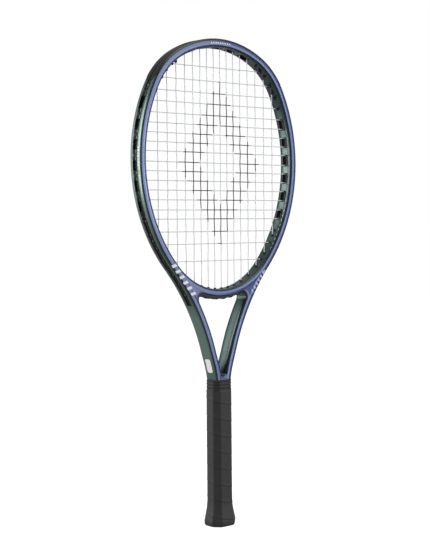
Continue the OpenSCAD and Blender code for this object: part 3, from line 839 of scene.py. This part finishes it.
def outside(p):
    """1 where a point of a string lies in or beyond the frame's wall, 0 over the bed; the 1s get painted
    shade.
    """
    q = Vector((abs(p.x), p.z))
    arc = SIDE
    if q.y < FORK.y:
        arc = BRIDGE
    elif math.degrees(math.atan2(*(q - TOP.centre).yx)) > TOP_END:
        arc = TOP
    elif math.degrees(math.atan2(*(q - SHOULDER.centre).yx)) > SHOULDER_END:
        arc = SHOULDER
    return 1.0 if (q - arc.centre).length > arc.radius - HALF_W + 1.0 else 0.0


def strand(name, path, radius=STRING_R, where=outside):
    """A string along a path, with the stretches outside the bed marked for the material's painted shade."""
    marks = [where(p) for p in path for _ in range(STRING_SIDES)]
    return loft(name, tube_rings(path, radius), smooth_angle=60, attributes={"outside": marks})


def knot(p, axis_angle):
    """A tie-off: three turns wound round the string's end, lying on the strip."""
    n = direction(axis_angle)
    path = []
    for i in range(KNOT_STEPS + 1):
        a = math.tau * KNOT_TURNS * i / KNOT_STEPS
        q = p + (0.45 + 0.62 * math.sin(a)) * n + (1.9 * i / KNOT_STEPS - 0.95) * 1.25 * across(n)
        path.append(Vector((q.x, 0.95 * math.cos(a), q.y)))
    # The whole knot gets the strings' painted shade.
    return strand("knot", path, KNOT_STRING_R, lambda p: 1.0)


def make_strings(material):
    """The two strands, each one continuous path, and the knots at their ends."""
    half = half_mains()
    mains = [Vector((-p.x, -p.y, p.z)) for p in half[:0:-1]] + half
    place(strand("mains_strand", soften(mains)), "string_polyester", material, "mains_string")
    place(strand("cross_strand", soften(cross_path())), "string_polyester", material, "cross_string")
    a = main_foot(7)[1]
    tie = (SIDE.point(a, STRING_LEVEL), a)
    high, low = ((cross_end(*end), cross_aim(*end)) for end in ((0, RIGHT_PAIRS), (LAST_CROSS, LEFT_PAIRS)))
    ends = [tie] + mirrored([tie]) + [high] + mirrored([low])
    knots = join("tie_off_knots", [knot(*end) for end in ends])
    place(knots, "string_polyester", material, "string_knots")


# ---------------- handle
# Width that the flare adds at each height
FLARE = [(0.6, 5.0), (1.4, 6.8), (2.5, 7.7), (4.5, 8.5), (6.5, 8.7), (8.5, 8.5), (11, 7.6), (15, 5.9),
         (19, 4.0), (24, 2.2), (28, 0.9), (34, 0.2), (40, 0.0)]
# The wrap: its height step, and the width of a seam, the height of its lip and the depth of its gap
WRAP_STEP, SEAM, LIP, GAP = 0.65, 0.7, 0.34, 0.28
# Points to a side of the octagons, and round the butt cap and the door
GRIP_POINTS, BAND_POINTS, CAP_POINTS, DOOR_POINTS = 11, 6, 96, 64
CAP_MORE = 5.2


def octagon_ring(a, b, c, z, soft, per_side):
    """An octagon with softened corners, `per_side` points to each of its eight sides."""
    corners = [(a / 2, -b / 2 + c), (a / 2, b / 2 - c), (a / 2 - c, b / 2), (-a / 2 + c, b / 2),
               (-a / 2, b / 2 - c), (-a / 2, -b / 2 + c), (-a / 2 + c, -b / 2), (a / 2 - c, -b / 2)]
    corners = [Vector(p) for p in corners]
    ring = []
    for i in range(8):
        before, here, after = (corners[(i + j) % 8] for j in (-1, 0, 1))
        side = after - here
        r = min(soft, side.length * 0.45)
        start = here + side.normalized() * r
        end = after - side.normalized() * r
        ring += bend(here + (before - here).normalized() * r, here, start, 5)
        ring += [start.lerp(end, j / (per_side + 1)) for j in range(1, per_side + 1)]
    return [Vector((p.x, p.y, z)) for p in ring]


def grip_ring(more, more_cut, z, soft, per_side):
    """The grip's octagon, `more` wider across the flats and `more_cut` at its cut corners."""
    return octagon_ring(GRIP_A + more, GRIP_B + more, GRIP_CUT + more_cut, z, soft, per_side)


def flare_at(z):
    """Straight between the listed heights, and nothing above them."""
    for (z0, f0), (z1, f1) in zip(FLARE, FLARE[1:]):
        if z <= z1:
            return f0 + (f1 - f0) * ((z - z0) / (z1 - z0))
    return 0.0


def wrap_phase(p):
    """0 to 1 between two seams of the wrap; the helix falls as it turns anticlockwise from above."""
    turn = math.degrees(math.atan2(p.y, p.x)) - 225
    return ((p.z - WRAP_START) / WRAP_PITCH + turn / 360) % 1.0


def wrap_rise(phase):
    """Height of the wrap's surface over its low: a lip at the seam that eases away above it."""
    mm = phase * WRAP_PITCH
    if mm > WRAP_PITCH - SEAM:
        return -GAP * (mm - WRAP_PITCH + SEAM) / SEAM
    lip = LIP * math.exp(-(mm / 4.2) ** 2) if mm > 0.5 else LIP * mm / 0.5 - GAP * (1 - mm / 0.5)
    pillow = 0.16 * math.sin(math.pi * min(1.0, mm / (WRAP_PITCH - SEAM)))
    return lip + pillow


def make_grip(material):
    """The cushioned grip, wound on as one strip whose turns overlap."""
    heights = [0.9, 1.3, 1.8, 2.4]
    z = 3.0
    while z < GRIP_TOP - 1:
        heights.append(z)
        z += WRAP_STEP
    heights.append(GRIP_TOP - 1.0)
    rings = [grip_ring(2.2, 0.7, 0.7, 2.6, GRIP_POINTS)]
    for z in heights:
        more = flare_at(z) + 0.7 + 0.5 * math.exp(-((z - 25) / 14) ** 2)
        fade = min(1.0, (z - 0.9) / 4)
        ring = []
        for p in grip_ring(more, 0.3 * more, z, 1.7, GRIP_POINTS):
            out = Vector((p.x, p.y, 0)).normalized()
            ring.append(p + out * wrap_rise(wrap_phase(p)) * fade)
        rings.append(ring)
    rings.append(grip_ring(-3, -1, GRIP_TOP - 0.6, 2.6, GRIP_POINTS))
    obj = loft("grip_wrap_cushion", rings, smooth_angle=55)
    return place(obj, "grip_polyurethane", material, "grip_wrap")


def make_collar(material):
    """The rubber collar over the end of the wrap: three soft ribs, a rolled foot and a rolled top."""
    ribs, pitch, foot = 3, 4.6, GRIP_TOP - 0.6
    rows = [(0.0, -0.4), (0.15, 0.1), (0.7, 0.4), (1.6, 0.45)]
    for i in range(ribs):
        base = 2.2 + i * pitch
        rows += [(base, 0.1), (base + 0.45, -0.05), (base + 1.0, -0.05), (base + 1.4, 0.2),
                 (base + 2.0, 0.42), (base + 3.0, 0.45), (base + 3.7, 0.35)]
    rows = [(h, g) for h, g in rows if h < COLLAR_LEN - 1.2]
    rows += [(COLLAR_LEN - 0.9, 0.4), (COLLAR_LEN - 0.3, 0.25), (COLLAR_LEN + 0.1, -0.2),
             (COLLAR_LEN + 0.25, -0.9), (COLLAR_LEN + 0.25, -2.6)]
    rings = [octagon_ring(33.8 + 2 * g, 27.8 + 2 * g, 7.0 + 0.59 * g, foot + h, 1.9, BAND_POINTS)
             for h, g in rows]
    return place(loft("collar_ribbed", rings, smooth_angle=50), "collar_rubber", material, "grip_collar")


def make_tape(material):
    """A thin band of vinyl tape round the end of the grip, up to the foot of the collar."""
    lo, hi, t = GRIP_TOP - 11.5, GRIP_TOP - 0.2, 0.28
    rows = [(lo, -0.4), (lo, t - 0.08), (lo + 0.2, t), (hi - 0.2, t), (hi, t - 0.08), (hi, -0.4)]
    rings = [grip_ring(2 * g, 0.59 * g, z, 1.6, BAND_POINTS) for z, g in rows]
    return place(loft("tape_band", rings, smooth_angle=50), "tape_vinyl", material, "finishing_tape")


def resample(ring, count):
    """The same closed outline with `count` points by angle from the centre, from the +X side round."""
    n = len(ring)
    out = []
    for c, s in circle(count):
        ray = Vector((c, s))
        best = None
        for j in range(n):
            p, q = ring[j].xy, ring[(j + 1) % n].xy
            e = q - p
            det = ray.x * e.y - ray.y * e.x
            if abs(det) < 1e-12:
                continue
            r = (p.x * e.y - p.y * e.x) / det
            along = (p.x * ray.y - p.y * ray.x) / det
            if r > 0 and -1e-9 <= along <= 1 + 1e-9 and (best is None or r > best):
                best = r
        out.append(Vector((ray.x * best, ray.y * best, ring[0].z)))
    return out


def rounded_ring(a, b, radius, z, count):
    return resample([Vector((x, y, z)) for x, y in rounded_outline(a / 2, b / 2, radius, 8)], count)


def make_butt_cap(material):
    """The cap's end: rounded rim, a shallow dish and the opening for the trap door."""
    rings = []
    for z, less in ((2.6, 0.0), (1.5, 0.0), (0.7, 0.5), (0.2, 1.5), (0.0, 3.0), (0.0, 5.0), (0.45, 6.2)):
        more = CAP_MORE - less
        rings.append(resample(grip_ring(more, 0.3 * more, z, 2.6, GRIP_POINTS), CAP_POINTS))
    for grow, z in ((0.9, 0.45), (0.45, 0.55), (0.2, 0.9), (0.2, 6.0), (-1.5, 6.0)):
        rings.append(rounded_ring(DOOR_A + 2 * grow, DOOR_B + 2 * grow, 3 + grow, z, CAP_POINTS))
    return place(loft("butt_cap_end", rings, smooth_angle=40), "cap_nylon", material, "butt_cap")


def make_door(material):
    """The trap door: bevelled plate with a groove round it, a coin slot and two clip legs."""
    rows = [(-1.2, 2.0), (0.0, 2.0), (0.0, 0.5), (-0.35, 0.12), (-0.8, 0.02), (-2.2, 0.02), (-2.5, 0.3),
            (-3.3, 0.3), (-3.6, 0.02), (-5.4, 0.02)]
    rings = [rounded_ring(DOOR_A + 2 * g, DOOR_B + 2 * g, max(0.4, 3 + g * 0.7), z, DOOR_POINTS)
             for g, z in rows]
    slot = ((9.4, 3.0, 0.02), (8.6, 2.2, 0.12), (8.4, 2.0, 0.75))
    rings += [rounded_ring(a, b, b / 2 - 0.05, z, DOOR_POINTS) for a, b, z in slot]
    parts = [loft("door_plate", rings, smooth_angle=35)]
    for s in (-1, 1):
        x = s * (DOOR_A / 2 - 3.2)
        rings = []
        for w, z in ((0.8, 1.6), (0.8, 5.2), (1.25, 5.8), (0.95, 6.7), (0.5, 7.0)):
            rings.append([(x + s * w, -3, z), (x + s * w, 3, z), (x - s * 0.8, 3, z), (x - s * 0.8, -3, z)])
        parts.append(loft("leg", rings, smooth_angle=30))
    return place(join("trap_door_panel", parts), "cap_nylon", material, "butt_trap_door", body=DOOR)


# ---------------- marks: plain bars, dots and a blank label
FRONT, INK, WALL_INK = -HALF_D - 0.02, 0.06, 0.05


def tile(name, corners):
    """A thin flat patch in the XZ plane on the front of the frame."""
    return loft(name, [[(x, y, z) for x, z in corners] for y in (FRONT, FRONT - INK)])


def arc_bars(name, arc, a0, a1, count, half_height, width):
    """Bars along an arc, spread evenly from one angle to another."""
    half = math.degrees(width / 2 / arc.radius)
    corners = ((-half, -half_height), (half, -half_height), (half, half_height), (-half, half_height))
    bars = []
    for i in range(count):
        a = a0 + (a1 - a0) * i / (count - 1)
        bars.append(tile("bar", [arc.point(a + turn, offset) for turn, offset in corners]))
    return join(name, bars)


def line_bars(name, start, end, count, height, width, lean):
    """Upright bars, each leaning along the line, spread evenly from one point to another."""
    start, end = Vector(start), Vector(end)
    along = (end - start).normalized()
    parts = []
    for i in range(count):
        p = start.lerp(end, i / (count - 1))
        parts.append(tile("bar", [p + s * width / 2 * along + h * (height / 2 * across(along) + lean * along)
                                  for s, h in ((-1, -1), (1, -1), (1, 1), (-1, 1))]))
    return join(name, parts)


def wall_patch(name, a0, a1, v0, v1, level, left):
    """A thin patch on a side wall, between two angles and two depths."""
    path = [flip(station) if left else station for station in stations(SIDE, a0, a1)]
    top = level + (WALL_INK if level > 0 else -WALL_INK)
    return sweep(name, path, [(level, v0), (top, v0), (top, v1), (level, v1)])


def make_label(material):
    """The blank paper label on the left shaft, with rounded ends."""
    path = [drawn_in(ARM.at(a)) for a in angles(-14.7, -ARM_LEAN, ARM_R, 0.8)]
    path += [drawn_in(NECK.at(a)) for a in angles(-ARM_LEAN, -8.7, NECK_R, 0.8)[1:]]
    top, foot, turn = path[0][0], path[-1][0], 3.0
    lo, hi = HALF_W - 0.02, HALF_W + 0.15
    rings = []
    for station in path:
        near = min((station[0] - top).length, (station[0] - foot).length, turn)
        short = turn - math.sqrt(turn ** 2 - (turn - near) ** 2)
        w = 5.6 - short * 0.8
        rings.append(ring_at(flip(station), [(lo, -w), (hi, -w), (hi, w), (lo, w)]))
    return place(loft("label_blank", rings), "label_vinyl", material, "blank_label")


def make_marks(white, silver, lime):
    """Plain bars, dashes and dots where the real frame carries lettering."""
    inner, outer = -HALF_W + 0.1, HALF_W - 0.02
    place(line_bars("yoke_bars_left", (-89.5, 374), (-56.0, 334.5), 6, 7.6, 4.4, 1.6), "frame_paint", white)
    place(line_bars("yoke_bars_right", (55.5, 334), (77, 359.5), 6, 4.6, 2.6, 0.6), "frame_paint", silver)
    dot = tile("yoke_dot", [(79.8 + 2.2 * c, 361.8 + 2.2 * s) for c, s in circle(6)])
    place(dot, "frame_paint", lime)
    place(arc_bars("crown_bars", TOP, 97, 84.5, 9, 0.9, 2.2), "frame_paint", white)
    dashes = [wall_patch("dash", a, a - 0.9, -8.4, -7.6, inner, False) for a in range(-14, -36, -2)]
    place(join("inner_wall_dashes", dashes), "frame_paint", silver)
    dashes = [wall_patch("dash", a, a - 0.55, -8.3, -5.6, outer, True) for a in range(4, -3, -1)]
    place(join("outer_wall_dashes", dashes), "frame_paint", white)
    place(wall_patch("outer_wall_dot", -4.0, -4.9, -8.6, -6.0, outer, True), "frame_paint", lime)


# ---------------- materials
def srgb(code):
    """A hex colour as linear RGBA."""
    out = []
    for i in (1, 3, 5):
        c = int(code[i:i + 2], 16) / 255
        out.append(c / 12.92 if c < 0.04045 else ((c + 0.055) / 1.055) ** 2.4)
    return (*out, 1.0)


def grey(value):
    return (value, value, value, 1.0)


def tint(colour, gain, lift=0.0):
    return (*(min(1, c * gain + lift) for c in colour[:3]), 1.0)


class Graph:
    """A material's nodes. Inputs take another node's output or a plain value."""

    def __init__(self, name):
        self.material = bpy.data.materials.new(name)
        self.material.use_nodes = True
        self.tree = self.material.node_tree
        self.shader = self.tree.nodes["Principled BSDF"]

    def node(self, kind, **settings):
        node = self.tree.nodes.new(kind)
        for key, value in settings.items():
            setattr(node, key, value)
        return node

    def feed(self, socket, value):
        if isinstance(value, bpy.types.NodeSocket):
            self.tree.links.new(value, socket)
        else:
            socket.default_value = value

    def set(self, **values):
        for key, value in values.items():
            self.shader.inputs[key.replace("_", " ")].default_value = value

    def position(self):
        return self.node("ShaderNodeTexCoord").outputs["Object"]

    def axes(self):
        node = self.node("ShaderNodeSeparateXYZ")
        self.feed(node.inputs[0], self.position())
        return [node.outputs[axis] for axis in "XYZ"]

    def attribute(self, name):
        return self.node("ShaderNodeAttribute", attribute_name=name).outputs["Fac"]

    def math(self, operation, *values, clamp=False):
        node = self.node("ShaderNodeMath", operation=operation, use_clamp=clamp)
        for socket, value in zip(node.inputs, values):
            self.feed(socket, value)
        return node.outputs[0]

    def plus(self, base, value, share):
        """base + value * share"""
        return self.math("ADD", base, self.math("MULTIPLY", value, share))

    def noise(self, scale, detail=3.0, roughness=0.5, vector=None):
        node = self.node("ShaderNodeTexNoise")
        for key, value in (("Scale", scale), ("Detail", detail), ("Roughness", roughness),
                           ("Vector", vector or self.position())):
            self.feed(node.inputs[key], value)
        return node.outputs["Fac"]

    def cells(self, scale, **settings):
        node = self.node("ShaderNodeTexVoronoi", **settings)
        self.feed(node.inputs["Scale"], scale)
        self.feed(node.inputs["Vector"], self.position())
        return node.outputs["Distance"]

    def ramp(self, factor, *stops):
        node = self.node("ShaderNodeValToRGB")
        elements = node.color_ramp.elements
        while len(elements) < len(stops):
            elements.new(0.5)
        for element, (position, colour) in zip(elements, stops):
            element.position = position
            element.color = colour
        self.feed(node.inputs["Fac"], factor)
        return node.outputs["Color"]

    def mix(self, factor, a, b, mode="MIX"):
        node = self.node("ShaderNodeMix", data_type="RGBA", blend_type=mode)
        for index, value in ((0, factor), (6, a), (7, b)):
            self.feed(node.inputs[index], value)
        return node.outputs[2]

    def bump(self, height, strength, distance):
        node = self.node("ShaderNodeBump")
        for key, value in (("Strength", strength), ("Distance", distance), ("Height", height)):
            self.feed(node.inputs[key], value)
        self.feed(self.shader.inputs["Normal"], node.outputs["Normal"])

    def finish(self, colour, roughness=None):
        self.feed(self.shader.inputs["Base Color"], colour)
        if roughness is not None:
            self.feed(self.shader.inputs["Roughness"], roughness)
        return self.material


def frame_paint():
    """Two-tone paint: sage green walls and a blue strip front and back; fine metal flake and clear coat.
    Painted light on top of it: the walls darken to navy at the corners, partly the paint's own shift and
    partly painted shade; the strip has a painted highlight down its middle and the outer wall a lighter
    painted highlight; a lit copy of the paint across the middle of the head gives way to a shaded copy, teal,
    at the crown, the throat and the collar; and the groove gets painted shade."""
    g = Graph("frame_paint_two_tone")
    band = g.attribute("band")
    sage, sage_highlight, teal, navy = srgb("#7c948c"), srgb("#87a298"), srgb("#2e4848"), srgb("#16233a")
    blue, mid, pale = srgb("#182e5a"), srgb("#304a82"), srgb("#6a87bd")
    deep, soft, groove_shade, moss = srgb("#26427a"), srgb("#46639c"), srgb("#141c1d"), srgb("#54726b")
    # Both ramps run over the band: inner wall, corner, strip, corner, outer wall.
    # The first is the lit copy of the paint, the second the shaded copy. In both, the strip's lighter middle
    # (pale, soft) is a painted highlight and the navy at the corners is partly the paint's own shift and
    # partly painted shade; the first ramp's lighter sage on the outer wall is a painted highlight.
    lit_paint = g.ramp(band, (0.0, sage), (0.1, sage), (0.25, teal), (0.34, navy), (0.375, navy), (0.4, blue),
                    (0.45, mid), (0.485, pale), (0.52, mid), (0.595, blue), (0.61, navy), (0.63, navy),
                    (0.66, teal), (0.7, sage_highlight), (1.0, sage_highlight))
    dark = g.ramp(band, (0.0, teal), (0.25, teal), (0.34, navy), (0.375, navy), (0.4, blue), (0.455, soft),
                  (0.5, deep), (0.6, blue), (0.62, navy), (0.64, navy), (0.75, moss), (1.0, moss))
    # Painted light by height, as a share of 0.7 m: the shaded copy at the collar, over the bridge and lower
    # head and at the crown, half lit on the throat's arms, and the lit copy across the middle of the head
    height = g.axes()[2]
    black, half, white = grey(0.0), grey(0.52), grey(1.0)
    fade = g.ramp(g.math("DIVIDE", height, 0.7), (0.300, black), (0.345, half), (0.43, half), (0.462, black),
                  (0.56, black), (0.66, white), (0.79, white), (0.87, black))
    colour = g.mix(fade, dark, lit_paint)
    # Painted shade in the groove along the head: its floor and the teeth between the ports are drawn near
    # black.
    groove = g.math("MULTIPLY", g.math("GREATER_THAN", band, 0.88), g.math("GREATER_THAN", height, 0.36))
    colour = g.mix(groove, colour, groove_shade)
    tone = g.plus(g.math("MULTIPLY", g.noise(1900, 1.0), 0.06), g.noise(9, 2.0), 0.25)
    colour = g.mix(1.0, colour, g.ramp(tone, (0.1, grey(0.82)), (0.4, grey(1.12))), "MULTIPLY")
    g.bump(g.noise(160, 1.0), 0.03, 0.0002)
    g.set(Metallic=0.45, Coat_Weight=0.6, Coat_Roughness=0.12)
    return g.finish(colour, g.plus(0.24, g.noise(60, 5.0, 0.7), 0.16))


def moulded(name, colour, roughness, grain=1400, strength=0.18):
    """Moulded plastic or rubber: fine grain, slight wear that lightens and dulls."""
    g = Graph(name)
    wear = g.noise(45, 5.0, 0.65)
    base = srgb(colour)
    tone = g.ramp(wear, (0.42, base), (0.75, tint(base, 1.8, 0.006)))
    g.bump(g.noise(grain, 3.0, 0.6), strength, 0.0003)
    return g.finish(tone, g.plus(roughness - 0.08, wear, 0.18))


def string_material():
    """Pale matte polyester with a dark stencil, a plain lozenge-shaped ring across the middle of the bed.
    The stretches outside the bed get painted shade, dark where they run through the wall and the guard's
    channel."""
    g = Graph("string_co_polyester")
    x, _, z = g.axes()
    x = g.math("ABSOLUTE", g.math("SUBTRACT", x, 0.004))
    z = g.math("ABSOLUTE", g.math("SUBTRACT", z, 0.516))
    reach = g.math("ADD", g.math("DIVIDE", x, 0.076), g.math("DIVIDE", z, 0.118))
    ragged = g.plus(reach, g.math("SUBTRACT", g.noise(700, 2.0), 0.5), 0.06)
    ink = g.math("MULTIPLY", g.math("LESS_THAN", ragged, 1.0), g.math("GREATER_THAN", ragged, 0.5))
    ink = g.math("MULTIPLY", ink, g.plus(0.85, g.noise(1500, 2.0), 0.3), clamp=True)
    plain = g.ramp(g.noise(260), (0.3, srgb("#e4e7e9")), (0.7, srgb("#f0f2f3")))
    colour = g.mix(ink, plain, srgb("#151516"))
    # Painted shade: the strings in the wall and the guard's channel are drawn dark.
    colour = g.mix(g.attribute("outside"), colour, srgb("#2b2d2e"))
    g.bump(g.noise(2200, 2.0), 0.08, 0.0001)
    g.set(Specular_IOR_Level=0.1)
    return g.finish(colour, g.plus(0.6, ink, 0.1))


def grip_material():
    """Cushioned polyurethane: fine leather-like grain, a dark line in each seam, a painted highlight along
    the lip above it, palm wear.
    """
    g = Graph("grip_polyurethane_black")
    x, y, z = g.axes()
    turn = g.math("DIVIDE", g.math("ARCTAN2", y, x), math.tau)
    rise = g.math("DIVIDE", g.math("SUBTRACT", z, WRAP_START * MM), WRAP_PITCH * MM)
    phase = g.math("FRACT", g.math("ADD", g.math("ADD", rise, turn), 20 - 225 / 360))
    # A dark line in each seam, and a painted highlight on the lip just above it that fades up the turn.
    seam = g.ramp(phase, (0.0, grey(0.55)), (0.022, grey(1.35)), (0.09, grey(1.08)), (0.2, grey(1.0)),
                  (0.962, grey(0.96)), (0.982, grey(0.35)), (1.0, grey(0.35)))
    worn = g.noise(30, 4.0, 0.6)
    base = g.ramp(worn, (0.35, srgb("#232323")), (0.75, srgb("#2e2e2e")))
    edges = g.math("MINIMUM", g.cells(900, feature="DISTANCE_TO_EDGE"), 0.25)
    g.bump(g.math("ADD", g.math("MULTIPLY", g.noise(1100, 4.0, 0.6), 0.6), edges), 0.3, 0.0003)
    g.set(Sheen_Weight=0.15, Sheen_Roughness=0.5)
    return g.finish(g.mix(1.0, base, seam, "MULTIPLY"), g.plus(0.5, worn, 0.2))


def foam(name, colour):
    """Foam with fine open cells."""
    g = Graph(name)
    distance = g.cells(700)
    base = srgb(colour)
    g.bump(distance, 0.5, 0.0005)
    g.set(Roughness=0.9)
    return g.finish(g.ramp(distance, (0.1, base), (0.6, tint(base, 1.25))))


def steel():
    """Brushed steel wire."""
    g = Graph("staple_steel_brushed")
    stretch = g.node("ShaderNodeMapping")
    g.feed(stretch.inputs["Scale"], (0.05, 1, 1))
    g.feed(stretch.inputs["Vector"], g.position())
    lines = g.noise(5000, 3.0, 0.6, stretch.outputs["Vector"])
    g.set(Metallic=1.0)
    return g.finish(g.ramp(lines, (0.3, srgb("#8b8e91")), (0.7, srgb("#c4c7c9"))), g.plus(0.22, lines, 0.2))


def print_ink(name, colour, metallic=0.0):
    """Thin printed mark with a slightly broken surface."""
    g = Graph(name)
    base = srgb(colour)
    worn = g.noise(800, 3.0, 0.6)
    g.set(Metallic=metallic)
    g.bump(g.noise(2500, 2.0), 0.05, 0.0001)
    return g.finish(g.ramp(worn, (0.3, tint(base, 0.9)), (0.55, base)), g.plus(0.35, worn, 0.2))


# ---------------- build
paint = frame_paint()
guard = moulded("guard_nylon_black", "#0b0c0d", 0.3)
cap = moulded("cap_nylon_black", "#1a1b1c", 0.45, 1800, 0.12)
rubber = moulded("collar_rubber_black", "#202020", 0.62, 1000, 0.2)
vinyl = moulded("tape_vinyl_black", "#191a1b", 0.38, 2500, 0.05)
polyester = string_material()
white_ink = print_ink("print_white", "#ffffff")
silver_ink = print_ink("print_silver", "#c3cfde", 0.2)
lime_ink = print_ink("print_lime", "#a9bf62")
paper = print_ink("label_paper", "#fbfcf6")

make_hoop(paint)
make_bridge(paint)
make_web(paint)
make_bumper(guard)
make_top_liners(guard)
make_side_liners("side_liner_sleeves_right", RIGHT_PAIRS, False, guard, "side_port_liners_right")
make_side_liners("side_liner_sleeves_left", LEFT_PAIRS, True, guard, "side_port_liners_left")
make_side_strips("side_strip_shell_right", RIGHT_PAIRS, False, guard, "side_grommet_strip_right")
make_side_strips("side_strip_shell_left", LEFT_PAIRS, True, guard, "side_grommet_strip_left")
make_bridge_strip(guard)
make_strings(polyester)
make_grip(grip_material())
make_tape(vinyl)
make_collar(rubber)
make_butt_cap(cap)
make_door(cap)
make_label(paper)
make_marks(white_ink, silver_ink, lime_ink)

# The sealed inner parts keep their CAD meshes and get their own finish
for node, material in (("handle_pallet_front", foam("pallet_foam_tan", "#b9a878")),
                       ("handle_pallet_back", foam("pallet_foam_tan_back", "#b5a474")),
                       ("handle_foam_core", foam("core_foam_grey", "#857f70")),
                       ("butt_staples", steel())):
    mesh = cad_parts[node].data
    mesh.materials.clear()
    mesh.materials.append(material)


# ---------------- camera, light, floor; metres and degrees
CAMERA_AZIMUTH, CAMERA_ELEVATION, CAMERA_ROLL = -41.0, 2.36, -0.47
CAMERA_DISTANCE, CAMERA_ASIDE, CAMERA_HEIGHT = 1.814, 0.0072, 0.358
LENS_MM, SENSOR_MM = 82.74, 36
LIGHT_TARGET = (0, 0, 0.35)
FLOOR_SIZE, FLOOR_LEVEL, FLOOR_GLOW = 30.0, -0.026, 0.87
WORLD_LIGHT, WORLD_SEEN = 0.3, 1.0


def make_camera():
    """At the object's front left, a little above the middle of the racket, looking slightly down."""
    azimuth, elevation, roll = (math.radians(v) for v in (CAMERA_AZIMUTH, CAMERA_ELEVATION, CAMERA_ROLL))
    back = Vector((math.sin(azimuth) * math.cos(elevation), -math.cos(azimuth) * math.cos(elevation),
                   math.sin(elevation)))
    right = Vector((math.cos(azimuth), math.sin(azimuth), 0))
    up = right.cross(-back)
    x_axis = math.cos(roll) * right + math.sin(roll) * up
    y_axis = -math.sin(roll) * right + math.cos(roll) * up
    location = -CAMERA_ASIDE * x_axis + CAMERA_HEIGHT * y_axis + CAMERA_DISTANCE * back
    data = bpy.data.cameras.new("camera")
    data.sensor_width = SENSOR_MM
    data.lens = LENS_MM
    data.clip_start, data.clip_end = 0.05, 60
    camera = add("camera", data)
    turn = Matrix((x_axis, y_axis, back)).transposed()
    camera.matrix_world = Matrix.Translation(location) @ turn.to_4x4()
    bpy.context.scene.camera = camera


def softbox(name, location, size, power):
    data = bpy.data.lights.new(name, "AREA")
    data.shape = "RECTANGLE"
    data.size, data.size_y = size
    data.energy = power
    light = add(name, data)
    light.location = location
    light.rotation_mode = "QUATERNION"
    light.rotation_quaternion = (Vector(LIGHT_TARGET) - Vector(location)).to_track_quat("-Z", "Y")


def make_floor():
    """White by its own glow, and far enough down to show the trap door when it is out."""
    g = Graph("floor_pale")
    g.set(Roughness=0.9, Emission_Color=grey(1.0), Emission_Strength=FLOOR_GLOW)
    g.finish(g.ramp(g.noise(3), (0.3, grey(0.45)), (0.7, grey(0.47))))
    corners = [(x * FLOOR_SIZE, y * FLOOR_SIZE, FLOOR_LEVEL) for x, y in ((-1, -1), (1, -1), (1, 1), (-1, 1))]
    mesh = bpy.data.meshes.new("floor")
    mesh.from_pydata(corners, [], [(0, 1, 2, 3)])
    mesh.materials.append(g.material)
    floor = add("floor", mesh)
    floor.visible_diffuse = False
    floor.visible_glossy = False


def make_world():
    """White to the eye, softer as a light."""
    world = bpy.data.worlds.new("studio")
    world.use_nodes = True
    tree = world.node_tree
    back = tree.nodes["Background"]
    back.inputs["Color"].default_value = (1, 1, 1, 1)
    path = tree.nodes.new("ShaderNodeLightPath")
    level = tree.nodes.new("ShaderNodeMapRange")
    level.inputs["To Min"].default_value = WORLD_LIGHT
    level.inputs["To Max"].default_value = WORLD_SEEN
    tree.links.new(path.outputs["Is Camera Ray"], level.inputs["Value"])
    tree.links.new(level.outputs["Result"], back.inputs["Strength"])
    bpy.context.scene.world = world


make_camera()
softbox("key_left", (-2.2, 1.2, 0.9), (1.6, 2.4), 54)
softbox("fill_front_right", (1.4, -2.6, 0.8), (1.4, 2.2), 41)
softbox("top", (0.2, -0.3, 2.6), (1.6, 1.6), 22)
make_floor()
make_world()
bpy.context.scene.view_settings.view_transform = "Standard"
